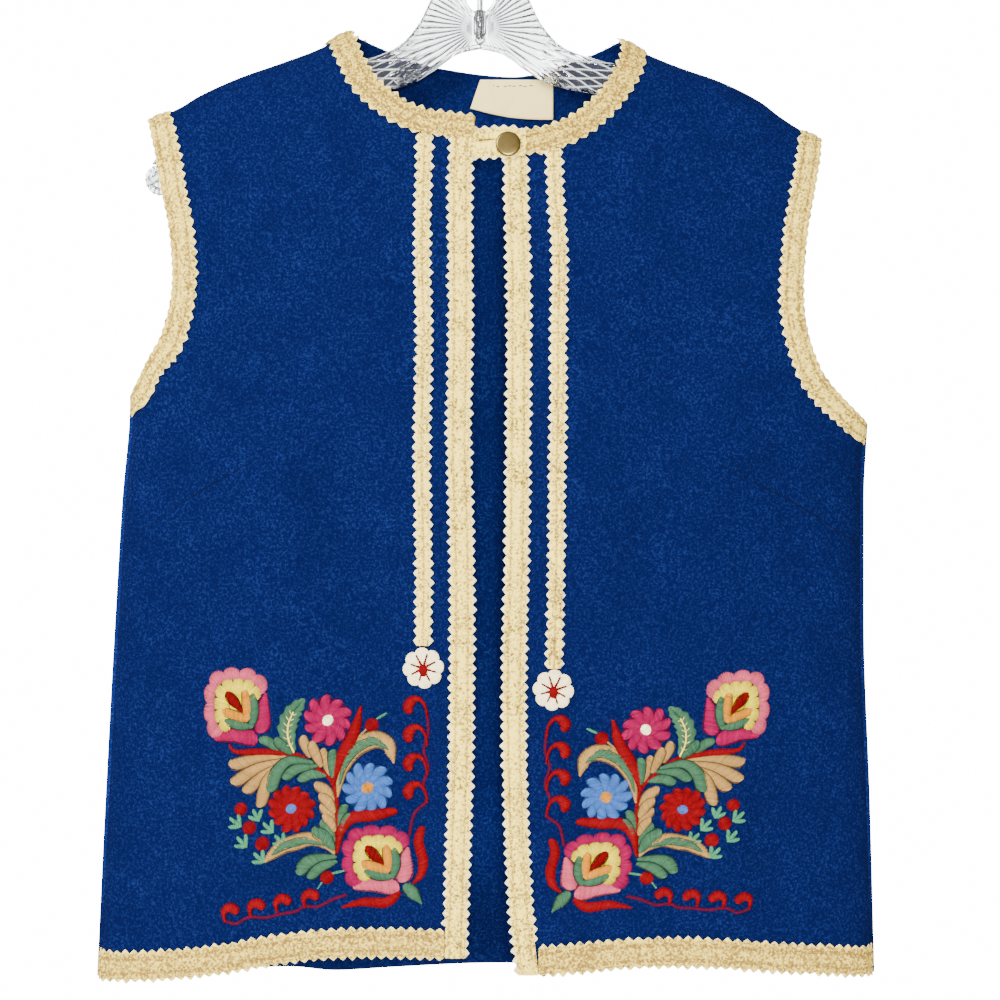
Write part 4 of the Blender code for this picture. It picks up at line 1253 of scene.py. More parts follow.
# ----------------------------------------------------------------------- bands
@dataclass
class FeltBand:
    """A strip of felt with pinked edges, stitched down along sunk channels.

    turn is 1 or -1 for the side of the edge that the strip lies on. bare holds
    stretches of the inner edge, as pairs of lengths, that have no teeth, and
    bare_outer those of the edge itself. Over tuck the start dives under a
    neighbour, and over calm the teeth die away towards the end. open_teeth is
    the share of their height that the teeth on the edge itself have, nip the
    share of its width that the strip loses where it is pulled round its last
    bend, and soil how much darker its body is painted; on the hem bands that
    is painted shade, where the cloth curves away from the light.
    """

    name: str
    face: Face
    edge: Edge
    width: float
    turn: int
    start: float = 0.0
    end: Optional[float] = None
    inset: float = 0.0
    start_across: Optional[Sequence[float]] = None
    end_across: Optional[Sequence[float]] = None
    bare: Sequence[tuple[float, float]] = ()
    channels: Sequence[float] = ()
    thickness: float = 1.6
    bare_outer: Sequence[tuple[float, float]] = ()
    tuck: float = 0.0
    calm: float = 0.0
    open_teeth: float = 1.0
    nip: float = 0.0
    nip_reach: float = 46.0
    body_darkening: float = 0.0
    tooth: float = 2.4
    pitch: float = 6.2
    steps: int = 6
    end_turn: float = 14.0
    sink: float = 0.85
    crown: float = 0.6
    groove: float = 0.85                 # a channel's half width
    rim: float = 0.35
    shoulder: float = 1.1
    ripple: float = 0.10
    tooth_lift: float = 1.25
    under: float = 0.12
    lengths: Array = field(init=False, repr=False)
    base: Array = field(init=False, repr=False)
    across: Array = field(init=False, repr=False)

    def __post_init__(self) -> None:
        """Work out the strip's middle lengths and the direction across it."""
        self.end = self.edge.length if self.end is None else self.end
        self.teeth = max(round((self.end - self.start) / self.pitch), 1)
        self.lengths = np.linspace(self.start, self.end, self.teeth * self.steps + 1)
        girth, z = self.edge.at(self.lengths)
        self.base = FORM.point(self.face, girth, z)
        ahead = FORM.point(self.face, *self.edge.at(self.lengths + 1.5))
        behind = FORM.point(self.face, *self.edge.at(self.lengths - 1.5))
        normal = FORM.normal(self.face, girth, z)
        self.across = unit(np.cross(normal, ahead - behind) * self.turn)
        for other, gap in ((self.start_across, self.lengths - self.start),
                           (self.end_across, self.end - self.lengths)):
            if other is not None:
                part = ease(np.minimum(gap / self.end_turn, 1.0))[:, None]
                target = np.asarray(other, float)
                target = target / np.linalg.norm(target)
                self.across = unit(target * (1 - part) + self.across * part)

    def tips(self, seed: int) -> Array:
        """Give each row's tooth height, cut by hand and so a little uneven."""
        rng = np.random.default_rng(seed)
        phase = (self.lengths - self.start) / (self.end - self.start) * self.teeth
        wedge = 1 - np.abs(2 * (phase % 1.0) - 1)
        number = np.minimum(phase.astype(int), self.teeth - 1)
        uneven = 1 + 0.14 * rng.standard_normal(self.teeth)
        if self.calm:
            uneven = uneven * (1 - 0.6 * ease((np.arange(self.teeth) / self.teeth - 1) * (
                self.end - self.start) / self.calm + 1))
        return (self.tooth * np.clip(wedge * 1.1 - 0.04, 0, 1) ** 0.9
                * np.clip(uneven, 0.3, 1.25)[number])

    def squeeze(self, lengths: Array) -> Array:
        """Give the share of its width that the strip keeps at each length."""
        left = np.clip((self.end - lengths) / self.nip_reach, 0, 1)
        return 1 - self.nip * np.sin(math.pi * left) ** 2

    def toothed(self, tips: Array, bare: Sequence[tuple[float, float]]) -> Array:
        """Take the teeth off the bare stretches, and leave the rim of the cut."""
        for low, high in bare:
            tips = np.where((self.lengths >= low) & (self.lengths <= high), 0.0, tips)
        return tips + 0.05

    def spots(self, reach: Array, lift: Array) -> Array:
        """Lay points of the strip at a reach across each row, moved out by lift."""
        points = self.base[:, None, :] + self.across[:, None, :] * reach[..., None]
        return FORM.raised(self.face, *FORM.locate(self.face, points), lift)

    def build(self, felt: Material, seed: int) -> Piece:
        """Make the strip's wall, its teeth and its channels.

        Args:
            felt: the strip's material.
            seed: for the uneven teeth.

        Returns:
            The strip's object, standing for its solid.
        """
        low, high = self.inset, self.inset + self.width
        stops = {low, low + self.rim, low + self.shoulder, low + self.width / 2,
                 high - self.shoulder, high - self.rim, high}
        for channel in self.channels:
            stops |= {low + channel + step for step in (-1.5, -0.7, 0.0, 0.7, 1.5)}
        inside = np.array(sorted(stops))
        tips = self.toothed(self.tips(seed) * self.open_teeth, self.bare_outer)
        inner_tips = self.toothed(self.tips(seed + 1), self.bare)
        rows = len(self.lengths)
        reach = np.concatenate([(low - tips)[:, None], np.tile(inside, (rows, 1)),
                                (high + inner_tips)[:, None]], axis=1)
        reach = low + (reach - low) * self.squeeze(self.lengths)[:, None]
        shoulder = ease(np.minimum(inside - low, high - inside) / self.shoulder)
        profile = (self.tooth_lift + (self.thickness - self.tooth_lift) * shoulder
                   + self.crown * np.sin(math.pi * (inside - low) / self.width) ** 0.6)
        for channel in self.channels:
            dent = np.exp(-((inside - low - channel) / self.groove) ** 2)
            profile = profile - self.sink * dent
        rng = np.random.default_rng(seed + 2)
        waves = sum(self.ripple * np.sin(self.lengths / period + rng.uniform(0, 6.28))
                    for period in (4.1, 7.3, 13.0))
        lift = np.tile(profile, (rows, 1)) + waves[:, None] * shoulder
        edge_lift = np.full((rows, 1), self.tooth_lift)
        lift = np.concatenate([edge_lift, lift, edge_lift], axis=1)
        if self.tuck:
            sunk = 1 - ease((self.lengths - self.start) / self.tuck)
            lift = np.maximum(lift - 1.6 * sunk[:, None], 0.3)
        outer = self.spots(reach, self.under + lift)
        below = np.full(reach.shape, self.under)
        below[:, 0] = below[:, -1] = self.under + 0.4
        inner = self.spots(reach, below)
        # painted highlight: the teeth are paler towards their tips and a little at their roots, less on darker bands
        tone = np.zeros(reach.shape)
        highlight_share = 1 - 0.4 * self.body_darkening
        tone[:, 0], tone[:, -1] = highlight_share * tips / self.tooth, highlight_share * inner_tips / self.tooth
        tone[:, 1], tone[:, -2] = 0.3 * tone[:, 0], 0.3 * tone[:, -1]
        # painted shade in each sunk channel, where the felt is also pressed
        for channel in self.channels:
            tone[:, 1:-1] -= np.exp(-((inside - low - channel) / 0.9) ** 2)
        # the whole body painted darker; on the hem bands this is painted shade where the cloth turns from the light
        tone[:, 1:-1] -= self.body_darkening
        piece = wall(self.name + "_felt", outer, inner, felt, 0.12,
                     np.clip(tone, DEEPEST_TONE, 1))
        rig.ride(piece, "root")
        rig.replaces(piece, self.name)
        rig.slot(piece, "cream_felt")
        LOG.info("%s: %d faces", piece.name, len(piece.data.polygons))
        return piece


# ------------------------------------------------------------- round and flat pieces
def round_mesh(name: str, rings: Array, first: Array, last: Array,
               material: Material) -> Piece:
    """Make a closed shape of rings of points between two poles.

    Args:
        name: the piece's name.
        rings: rings by points by x, y, z.
        first: the pole before the first ring.
        last: the pole after the last ring.
        material: what it is made of.

    Returns:
        The object, faces outwards.
    """
    count, around = rings.shape[:2]
    points = np.concatenate([rings.reshape(-1, 3), first[None], last[None]])
    faces = []
    for r in range(count):
        for i in range(around):
            j = (i + 1) % around
            if r == 0:
                faces.append((count * around, j, i))
            if r == count - 1:
                faces.append((r * around + i, r * around + j, count * around + 1))
            else:
                faces.append((r * around + i, r * around + j,
                              (r + 1) * around + j, (r + 1) * around + i))
    piece = mesh_object(name, points, faces, material)
    face_outwards(piece)
    return piece


def ring_faces(rings: int, around: int) -> Faces:
    """List the quads between neighbouring rings of points."""
    return [(r * around + i, r * around + (i + 1) % around,
             (r + 1) * around + (i + 1) % around, (r + 1) * around + i)
            for r in range(rings - 1) for i in range(around)]


def tube_mesh(path: Array, radius: float, around: int) -> tuple[Array, Faces]:
    """Sweep a round section along a path in the plane Y = 0, with round ends.

    Args:
        path: rows of x, y, z.
        radius: of the section.
        around: points round the section.

    Returns:
        The points and the faces.
    """
    tangent = unit(np.gradient(path, axis=0))
    side = np.array([0.0, 1.0, 0.0])
    up = np.cross(tangent, side)
    turn = turns(around)
    ends = ((-0.72, 0.45), (-0.4, 0.82))     # reach along and size of each end's rings
    rings = [(path[0] + tangent[0] * radius * reach, size, up[0]) for reach, size in ends]
    rings += [(path[i], 1.0, up[i]) for i in range(1, len(path) - 1)]
    rings += [(path[-1] - tangent[-1] * radius * reach, size, up[-1])
              for reach, size in reversed(ends)]
    points = np.concatenate([centre + radius * size * (np.outer(np.cos(turn), side)
                                                       + np.outer(np.sin(turn), over))
                             for centre, size, over in rings])
    faces = ring_faces(len(rings), around)
    faces.append(tuple(range(around))[::-1])
    faces.append(tuple(range((len(rings) - 1) * around, len(rings) * around)))
    return points, faces


def face_outwards(piece: Piece, merge: bool = False) -> None:
    """Turn a closed piece's faces outwards, after merging doubles if asked."""
    bm = bmesh.new()
    bm.from_mesh(piece.data)
    if merge:
        bmesh.ops.remove_doubles(bm, verts=bm.verts[:], dist=0.00001)
    bmesh.ops.recalc_face_normals(bm, faces=bm.faces[:])
    bm.to_mesh(piece.data)
    bm.free()


@dataclass
class ButtonTab:
    """The felt tab that crosses the opening and carries the button."""

    left: float = -5.0
    right: float = 29.2
    mid_z: float = -197.5
    half: float = 9.3
    round_from: float = 0.72
    blunt: float = 0.45
    under: float = -0.4
    over: float = 2.9
    climb_from: float = 1.0
    climb_to: float = 12.5
    thickness: float = 1.6
    columns: int = 72
    rows: int = 28
    tooth: float = 1.7
    pitch: float = 6.2
    line_z: float = -195.6               # of the stitched line
    line_end: float = 11.5
    seam_at: float = 0.72                # share of the way out to the rim
    seam_half: float = 0.07
    hole: tuple[float, float] = (-1.2, 10.4)

    def lift(self, x: Array) -> Array:
        """Give how far the tab's under side stands off the cloth, as it climbs the band."""
        climb = ease((x - self.climb_from) / (self.climb_to - self.climb_from))
        return self.under + climb * (self.over - self.under)

    def buttonhole(self, material: Material) -> Piece:
        """Draw the dark slit of the old buttonhole as one fine strand."""
        work = ThreadWork("buttonhole_line", 8, 6)
        x = np.linspace(*self.hole, 14)
        lift = self.lift(x) + self.thickness - 0.62
        lift[0] = lift[-1] = lift[0] - 0.8
        work.add(FORM.lay(Face.FRONT, x, np.full(len(x), self.line_z), lift)[None],
                 Dye.DARK_SEWING, 0.36, 0.0)
        return work.build(material)

    def build(self, felt: Material) -> Piece:
        """Make the tab's wall, pinked round its edges, with its sewn line."""
        u, v = np.meshgrid(np.linspace(0, 1, self.columns + 1),
                           np.linspace(-1, 1, self.rows + 1), indexing="xy")
        end = np.sqrt(1 - np.clip((u - self.round_from) / (1 - self.round_from), 0, 1) ** 2)
        run = (self.right - self.left) * u
        wedge = ease(1 - np.abs(2 * ((run / self.pitch + 0.2) % 1.0) - 1))
        half = self.half * (self.blunt + (1 - self.blunt) * end)
        z = self.mid_z + v * (half + self.tooth * wedge * np.abs(v) ** 3)
        end_wedge = ease(1 - np.abs(2 * ((v * 0.75 + 0.5) % 1.0) - 1))
        x = self.left + run + 1.1 * end_wedge * u ** 20
        rim = np.maximum(np.abs(v), ease((u - 0.9) / 0.1))
        thick = self.thickness * (1 - 0.3 * rim ** 6)
        reach = ease((self.line_end - x) / 3)
        sewn = np.exp(-((z - self.line_z) / 0.8) ** 2) * reach
        lift = self.lift(x)
        soft = 0.12 * np.sin(x / 3.1) * np.cos(z / 2.7)
        seam = np.exp(-((rim - self.seam_at) / self.seam_half) ** 2)
        outer = FORM.lay(Face.FRONT, x, z, lift + thick + soft - 0.8 * sewn - 0.6 * seam)
        inner = FORM.lay(Face.FRONT, x, z, lift)
        # painted highlight on the teeth, and painted shade along the sunk sewn line and the sunk seam round the rim
        tone = (np.abs(v) ** 12 * wedge - np.exp(-((z - self.line_z) / 0.9) ** 2) * reach
                - seam * 0.7)
        piece = wall("button_tab_felt", outer, inner, felt, 0.12, np.clip(tone, DEEPEST_TONE, 1))
        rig.ride(piece, "root")
        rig.replaces(piece, "button_tab")
        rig.slot(piece, "cream_felt")
        return piece


@dataclass
class FeltFlower:
    """A cut-out felt flower of eight round petals."""

    name: str
    at: Mark
    radius: float = 12.9
    petals: int = 8
    notch: float = 0.17
    thickness: float = 1.9
    flat: float = 0.72                   # share of it at the middle and at the rim
    under: float = 0.35
    rings: int = 9
    around: int = 128
    turn: float = 0.0

    def build(self, felt: Material) -> Piece:
        """Make the flower, its petals puffed and parted by soft creases."""
        turn = turns(self.around)
        lobe = np.abs(np.cos((turn - self.turn) * self.petals / 2)) ** 0.55
        outline = self.radius * (1 - self.notch * (1 - lobe))
        share = np.linspace(1 / self.rings, 1, self.rings)[:, None]
        x = self.at.x + share * outline * np.cos(turn)
        z = self.at.z + share * outline * np.sin(turn)
        parted = np.exp(-(lobe / 0.42) ** 2) * ease((share - 0.25) / 0.5)
        puff = self.thickness * (self.flat + 0.5 * np.sin(math.pi * np.clip(share, 0, 1) ** 1.2))
        lift = self.under + puff * (1 - 0.35 * parted) * (1 - 0.35 * share ** 10)
        outer = FORM.lay(Face.FRONT, x, z, lift)
        inner = FORM.lay(Face.FRONT, x, z, np.full(x.shape, self.under))
        rim = (outer[-1] + inner[-1]) / 2
        rim = rim + unit(rim - rim.mean(axis=0)) * 0.25
        top = FORM.spot(Face.FRONT, self.at, self.under + self.thickness * self.flat)
        low = FORM.spot(Face.FRONT, self.at, self.under)
        rings = np.concatenate([outer, rim[None], inner[::-1]])
        piece = round_mesh(self.name + "_felt", rings, top, low, felt)
        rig.ride(piece, "root")
        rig.replaces(piece, self.name)
        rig.slot(piece, "white_felt")
        return piece


@dataclass
class NeckLabel:
    """The bare woven label inside the back neck."""

    top: float = -147.4
    left_top: float = 0.0
    left_low: float = -6.5
    right: float = 48.0
    drop_left: float = 18.5
    drop_right: float = 25.5
    belly: float = 2.5
    lean: float = 1.2
    wool: float = 2.5
    clear: float = 0.6
    thickness: float = 0.7
    columns: int = 36
    rows: int = 16

    def sewing(self, material: Material) -> Piece:
        """Tack the label along its top with a broken row of dark hand stitches."""
        work = ThreadWork("neck_label_tacking", 9, 5)
        middle = np.array([6.0, 8.8, 11.6, 16.4, 19.4, 22.2, 26.6, 29.6, 33.4])
        x = middle[:, None] + np.array([-1.1, 0.0, 1.1])
        z = self.top - 4.0 + 0.25 * np.sin(middle)[:, None] + np.zeros(x.shape)
        stand = self.wool + self.clear + self.thickness + np.array([0.0, 0.35, 0.0])
        work.add(FORM.lay(Face.BACK, x, z, -np.tile(stand, (len(x), 1))), Dye.DARK_SEWING, 0.3)
        return work.build(material)

    def build(self, tape: Material) -> Piece:
        """Make the label, held along its top and a little wavy below."""
        u, v = np.meshgrid(np.linspace(0, 1, self.columns + 1),
                           np.linspace(0, 1, self.rows + 1), indexing="xy")
        left = self.left_top + (self.left_low - self.left_top) * v
        x = left + (self.right - left) * u
        drop = self.drop_left + (self.drop_right - self.drop_left) * u
        z = self.top - (drop + self.belly * np.sin(math.pi * u)) * v
        wave = (0.35 * v * np.sin(2.2 * math.pi * u + 0.7)
                + 0.9 * np.exp(-((u - 0.10 - 0.16 * v) / 0.05) ** 2) * (1 - v)
                - 0.5 * np.exp(-((u - 0.62 + 0.2 * v) / 0.06) ** 2) * v)
        inward = self.wool + self.clear + self.lean * v + wave
        outer = FORM.lay(Face.BACK, x, z, -(inward + self.thickness))
        inner = FORM.lay(Face.BACK, x, z, -inward)
        piece = wall("neck_label_tape", outer, inner, tape, 0.1)
        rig.ride(piece, "root")
        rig.replaces(piece, "neck_label")
        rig.slot(piece, "label_tape")
        return piece


@dataclass
class BrassButton:
    """A pressed metal button with a raised rim round a low dome."""

    at: Mark = Mark(18.1, -199.2)
    lift: float = 4.45
    around: int = 72
    profile: Sequence[tuple[float, float]] = (
        (2.0, 0.55), (6.2, 0.6), (7.4, 0.95), (7.85, 1.35), (8.0, 1.75), (7.9, 2.1),
        (7.65, 2.4), (7.2, 2.6), (6.4, 2.68), (4.2, 2.74), (2.6, 2.77), (1.2, 2.79))

    def build(self, metal: Material) -> Piece:
        """Turn the button and set it square on the tab."""
        centre = FORM.spot(Face.FRONT, self.at, self.lift)
        girth = FORM.girth_at(self.at.x, self.at.z)
        up = FORM.normal(Face.FRONT, girth, np.array(self.at.z))
        side = unit(np.cross(up, [0.0, 0.0, 1.0]))
        over = np.cross(side, up)
        turn = turns(self.around)
        circle = np.outer(np.cos(turn), side) + np.outer(np.sin(turn), over)
        rings = np.array([centre + circle * radius + up * height
                          for radius, height in self.profile])
        piece = round_mesh("button_brass", rings, centre + up * 0.55, centre + up * 2.8, metal)
        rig.ride(piece, "root")
        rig.replaces(piece, "button")
        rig.slot(piece, "button_metal")
        return piece


# ---------------------------------------------------------------------- hanger
@dataclass
class ClearHanger:
    """The moulded hanger: beaded edges, a thin ribbed web, a sleeve and a window."""

    top: Sequence[Mark] = line_of(
        (0, -70), (10, -71.5), (22, -79), (28.5, -90), (32.5, -100), (41.6, -117.5),
        (56.6, -131.5), (87, -140.8), (112, -143.4), (136, -149.4), (160, -158.6), (182, -171),
        (199, -187), (213, -206))
    low: Sequence[Mark] = line_of(
        (0, -131.5), (15, -135.2), (30, -145.6), (47.5, -155), (77, -161.4), (100, -164.5),
        (130, -169), (158, -177), (184, -190), (197.5, -207))
    knob: Mark = Mark(207.5, -216.5)
    knob_rings: Sequence[tuple[float, float]] = (
        (0.0, 2.2), (3.5, 1.6), (6.4, 1.8), (7.4, 3.3), (9.0, 3.4), (9.8, 2.2))
    knob_around: int = 72
    knob_ribs: int = 18
    half: float = 3.5
    web: float = 1.3
    bead: float = 2.2
    blend: float = 1.2                   # from bead to web
    edge: float = 0.8                    # over which the web rounds off
    rim: float = 1.5                     # round the window
    rim_out: float = 1.2
    rim_half: float = 1.1
    window_z: float = -95.0
    window_width: float = 9.6
    window_height: float = 13.0
    sleeve: Sequence[tuple[float, float]] = (
        (0.6, -131.2), (3.7, -125.6), (2.9, -122.6), (4.2, -121.6), (4.2, -107.4), (3.4, -106.5))
    bore: Sequence[tuple[float, float]] = (
        (0.3, -130.0), (2.3, -126.0), (1.5, -123.0), (2.1, -121.4), (2.1, -60.0))
    stations: int = 150
    dense: float = 0.56
    across: int = 40

    def along(self, marks: Sequence[Mark]) -> Array:
        """Give stations along an edge of one arm, closer together near the middle."""
        line = smooth_line(marks, 1.0, 6)
        lengths = run_lengths(line)
        even = np.linspace(0, 1, self.stations + 1)
        share = lengths[-1] * (self.dense * even + (1 - self.dense) * even ** 2.4)
        return read_rows(share, lengths, line)

    def thickness(self, x: Array, z: Array, edge: Array) -> Array:
        """Give half the moulding's thickness: bead, web and the window's frame.

        Args:
            x: places across.
            z: heights.
            edge: distance to the nearer edge.

        Returns:
            The distance from the middle plane to the face.
        """
        bead = np.sqrt(np.maximum(1 - (np.minimum(edge, 2 * self.bead) / self.bead - 1) ** 2, 0))
        oval = np.hypot(x / self.window_width, (z - self.window_z) / self.window_height)
        frame = np.exp(-(((oval - 1) * self.window_width - self.rim_out) / self.rim_half) ** 2)
        web = self.web + self.rim * frame
        inside = ease((edge - self.bead) / self.blend)
        return np.maximum(self.half * bead * (1 - inside),
                          web * np.minimum(edge / self.edge, 1.0))

    def body(self) -> tuple[Array, Faces]:
        """Make the arms and the middle as one closed skin."""
        top, low = self.along(self.top), self.along(self.low)
        top = np.concatenate([top[:0:-1] * (-1, 1), top])
        low = np.concatenate([low[:0:-1] * (-1, 1), low])
        width = np.linalg.norm(top - low, axis=-1)
        t = np.linspace(0, 1, self.across + 1)
        t = 0.55 * t + 0.45 * (0.5 - 0.5 * np.cos(math.pi * t))
        flat = low[:, None] * (1 - t[None, :, None]) + top[:, None] * t[None, :, None]
        edge = np.minimum(t, 1 - t)[None, :] * width[:, None]
        half = self.thickness(flat[..., 0], flat[..., 1], edge)
        half[:, 0] = half[:, -1] = 0.05
        rows, columns = flat.shape[:2]
        front = np.stack([flat[..., 0], -half, flat[..., 1]], axis=-1)
        back = np.stack([flat[..., 0], half, flat[..., 1]], axis=-1)
        points = np.concatenate([front.reshape(-1, 3), back.reshape(-1, 3)])
        faces = grid_faces(rows, columns) + grid_faces(rows, columns, rows * columns, True)
        loop, _ = border(rows, columns)
        for a, b in zip(loop, loop[1:] + loop[:1]):
            faces.append((b, a, rows * columns + a, rows * columns + b))
        return points, faces

    def knob_mesh(self, side: int) -> tuple[Array, Faces]:
        """Make the ribbed round end of an arm as a closed puck."""
        turn, around = turns(self.knob_around), self.knob_around
        rows = (*self.knob_rings, *((r, -h) for r, h in reversed(self.knob_rings)))
        rings = []
        for radius, half in rows:
            size = max(radius, 0.02) * (1 + 0.03 * np.cos(turn * self.knob_ribs) * (radius > 7))
            rings.append(np.stack([side * self.knob.x + size * np.cos(turn),
                                   np.full(around, -half),
                                   self.knob.z + size * np.sin(turn)], axis=-1))
        faces = ring_faces(len(rings), around)
        faces += [tuple(range(around)),
                  tuple(range((len(rings) - 1) * around, len(rings) * around))]
        return np.concatenate(rings), faces

    def upright(self, name: str, rows: Sequence[tuple[float, float]], around: int = 32) -> Piece:
        """Make an upright round pin on the hook's axis from its radii and heights."""
        turn = turns(around)
        rings = np.array([np.stack([r * np.cos(turn), r * np.sin(turn), np.full(around, z)],
                                   axis=-1) for r, z in rows])
        ends = (np.array([0, 0, rows[i][1]]) for i in (0, -1))
        return round_mesh(name, rings, *ends, None)

    def window(self, deep: float = 9.0, around: int = 48) -> Piece:
        """Make the oval that cuts the window."""
        turn = turns(around)
        rings = np.array([np.stack([self.window_width * np.cos(turn), np.full(around, y),
                                    self.window_z + self.window_height * np.sin(turn)], axis=-1)
                          for y in (-deep, deep)])
        middle = np.array([0, 0, self.window_z])
        return round_mesh("window_cutter", rings, middle + (0, -deep, 0), middle + (0, deep, 0),
                          None)

    def build(self, plastic: Material) -> Piece:
        """Make the hanger in one piece.

        Args:
            plastic: the clear moulding material.

        Returns:
            The hanger's object, standing for its solid.
        """
        piece = mesh_object("hanger_body_moulding", *self.body(), plastic)
        face_outwards(piece, merge=True)
        tools = [(self.window(), "DIFFERENCE"), (self.upright("sleeve_pin", self.sleeve), "UNION"),
                 (self.upright("bore_cutter", self.bore), "DIFFERENCE")]
        for side in (-1, 1):
            knob = mesh_object(f"knob_{side}", *self.knob_mesh(side))
            face_outwards(knob, merge=True)
            tools.append((knob, "UNION"))
        for tool, operation in tools:
            cut = piece.modifiers.new(tool.name, "BOOLEAN")
            cut.operation, cut.solver, cut.object = operation, "EXACT", tool
        apply_modifiers(piece)
        for tool, _ in tools:
            bpy.data.objects.remove(tool)
        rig.ride(piece, "root")
        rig.replaces(piece, "hanger_body")
        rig.slot(piece, "clear_plastic")
        LOG.info("%s: %d faces", piece.name, len(piece.data.polygons))
        return piece


def apply_modifiers(piece: Piece) -> None:
    """Turn what a piece's modifiers make into its own plain mesh."""
    bpy.context.view_layer.update()
    graph = bpy.context.evaluated_depsgraph_get()
    mesh = bpy.data.meshes.new_from_object(piece.evaluated_get(graph), depsgraph=graph)
    piece.modifiers.clear()
    piece.data = mesh


@dataclass
class WireHook:
    """The bent steel wire, held in the hanger's sleeve."""

    wire: float = 1.9
    inside: float = 20.0
    stem_low: float = -124.5
    start_turn: float = -52.0
    tip_turn: float = 205.0
    around: int = 24

    def build(self, metal: Material) -> Piece:
        """Bend the wire along its route."""
        radius = self.inside + self.wire
        route = [(0.0, self.stem_low), (0.0, -95.0), (0.0, -66.0), (0.4, -58.0), (3.2, -49.5)]
        for turn in np.radians(np.linspace(self.start_turn, self.tip_turn, 16)):
            route.append((radius * math.cos(turn), -self.inside + radius * math.sin(turn)))
        line = smooth_line(route, 1.6, 4)
        path = np.stack([line[:, 0], np.zeros(len(line)), line[:, 1]], axis=-1)
        piece = mesh_object("hanger_hook_wire", *tube_mesh(path, self.wire, self.around), metal)
        face_outwards(piece, merge=True)
        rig.ride(piece, "root")
        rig.replaces(piece, "hanger_hook")
        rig.slot(piece, "hook_wire")
        return piece


# ------------------------------------------------------------------ thread work
class Dye(Enum):
    """The thread colours."""

    RED = "#6E0007"
    MAGENTA = "#84083C"
    PINK = "#AD4558"
    YELLOW = "#C6B018"
    ORANGE = "#B87414"
    GREEN = "#35583F"
    MINT = "#3F7A57"
    BEIGE = "#98743F"
    BLUE = "#345A98"
    PALE_BLUE = "#3D5EA0"
    WHITE = "#F9EFC0"
    CREAM = "#E2C860"
    DEEP_RED = "#620004"
    MAROON = "#420505"
    VINE = "#4C0420"
    SEWING = "#9C7F46"
    DARK_SEWING = "#2A2118"
    SHADOW_BLUE = "#010622"


@dataclass
class ThreadTree:
    """Sweeps laid threads as round strands, by geometry nodes."""

    name: str = "laid_threads"

    def build(self) -> tuple[Tree, dict[str, str]]:
        """Build the node tree.

        Returns:
            The tree, and the identifier of each named input.
        """
        tree = bpy.data.node_groups.new(self.name, "GeometryNodeTree")
        sockets = {}
        tree.interface.new_socket("Threads", in_out="INPUT", socket_type="NodeSocketGeometry")
        for label, kind in (("Sides", "NodeSocketInt"), ("Material", "NodeSocketMaterial")):
            sockets[label] = tree.interface.new_socket(
                label, in_out="INPUT", socket_type=kind).identifier
        tree.interface.new_socket("Strands", in_out="OUTPUT", socket_type="NodeSocketGeometry")
        nodes = Nodes(tree)
        given = add_node(tree, "NodeGroupInput").outputs
        radius = nodes.out("GeometryNodeInputNamedAttribute", {"Name": "thread_radius"},
                           data_type="FLOAT")
        ring = nodes.out("GeometryNodeCurvePrimitiveCircle",
                         {"Resolution": given["Sides"], "Radius": 1.0})
        shape = nodes.out("GeometryNodeMeshToCurve", {"Mesh": given[0]})
        shape = nodes.out("GeometryNodeCurveToMesh",
                          {"Curve": shape, "Profile Curve": ring, "Scale": radius,
                           "Fill Caps": True})
        for kind in ("GeometryNodeSetShadeSmooth", "GeometryNodeRealizeInstances"):
            shape = nodes.out(kind, {"Geometry": shape})
        shape = nodes.out("GeometryNodeSetMaterial",
                          {"Geometry": shape, "Material": given["Material"]})
        add_node(tree, "NodeGroupOutput", None, {0: shape})
        return tree, sockets


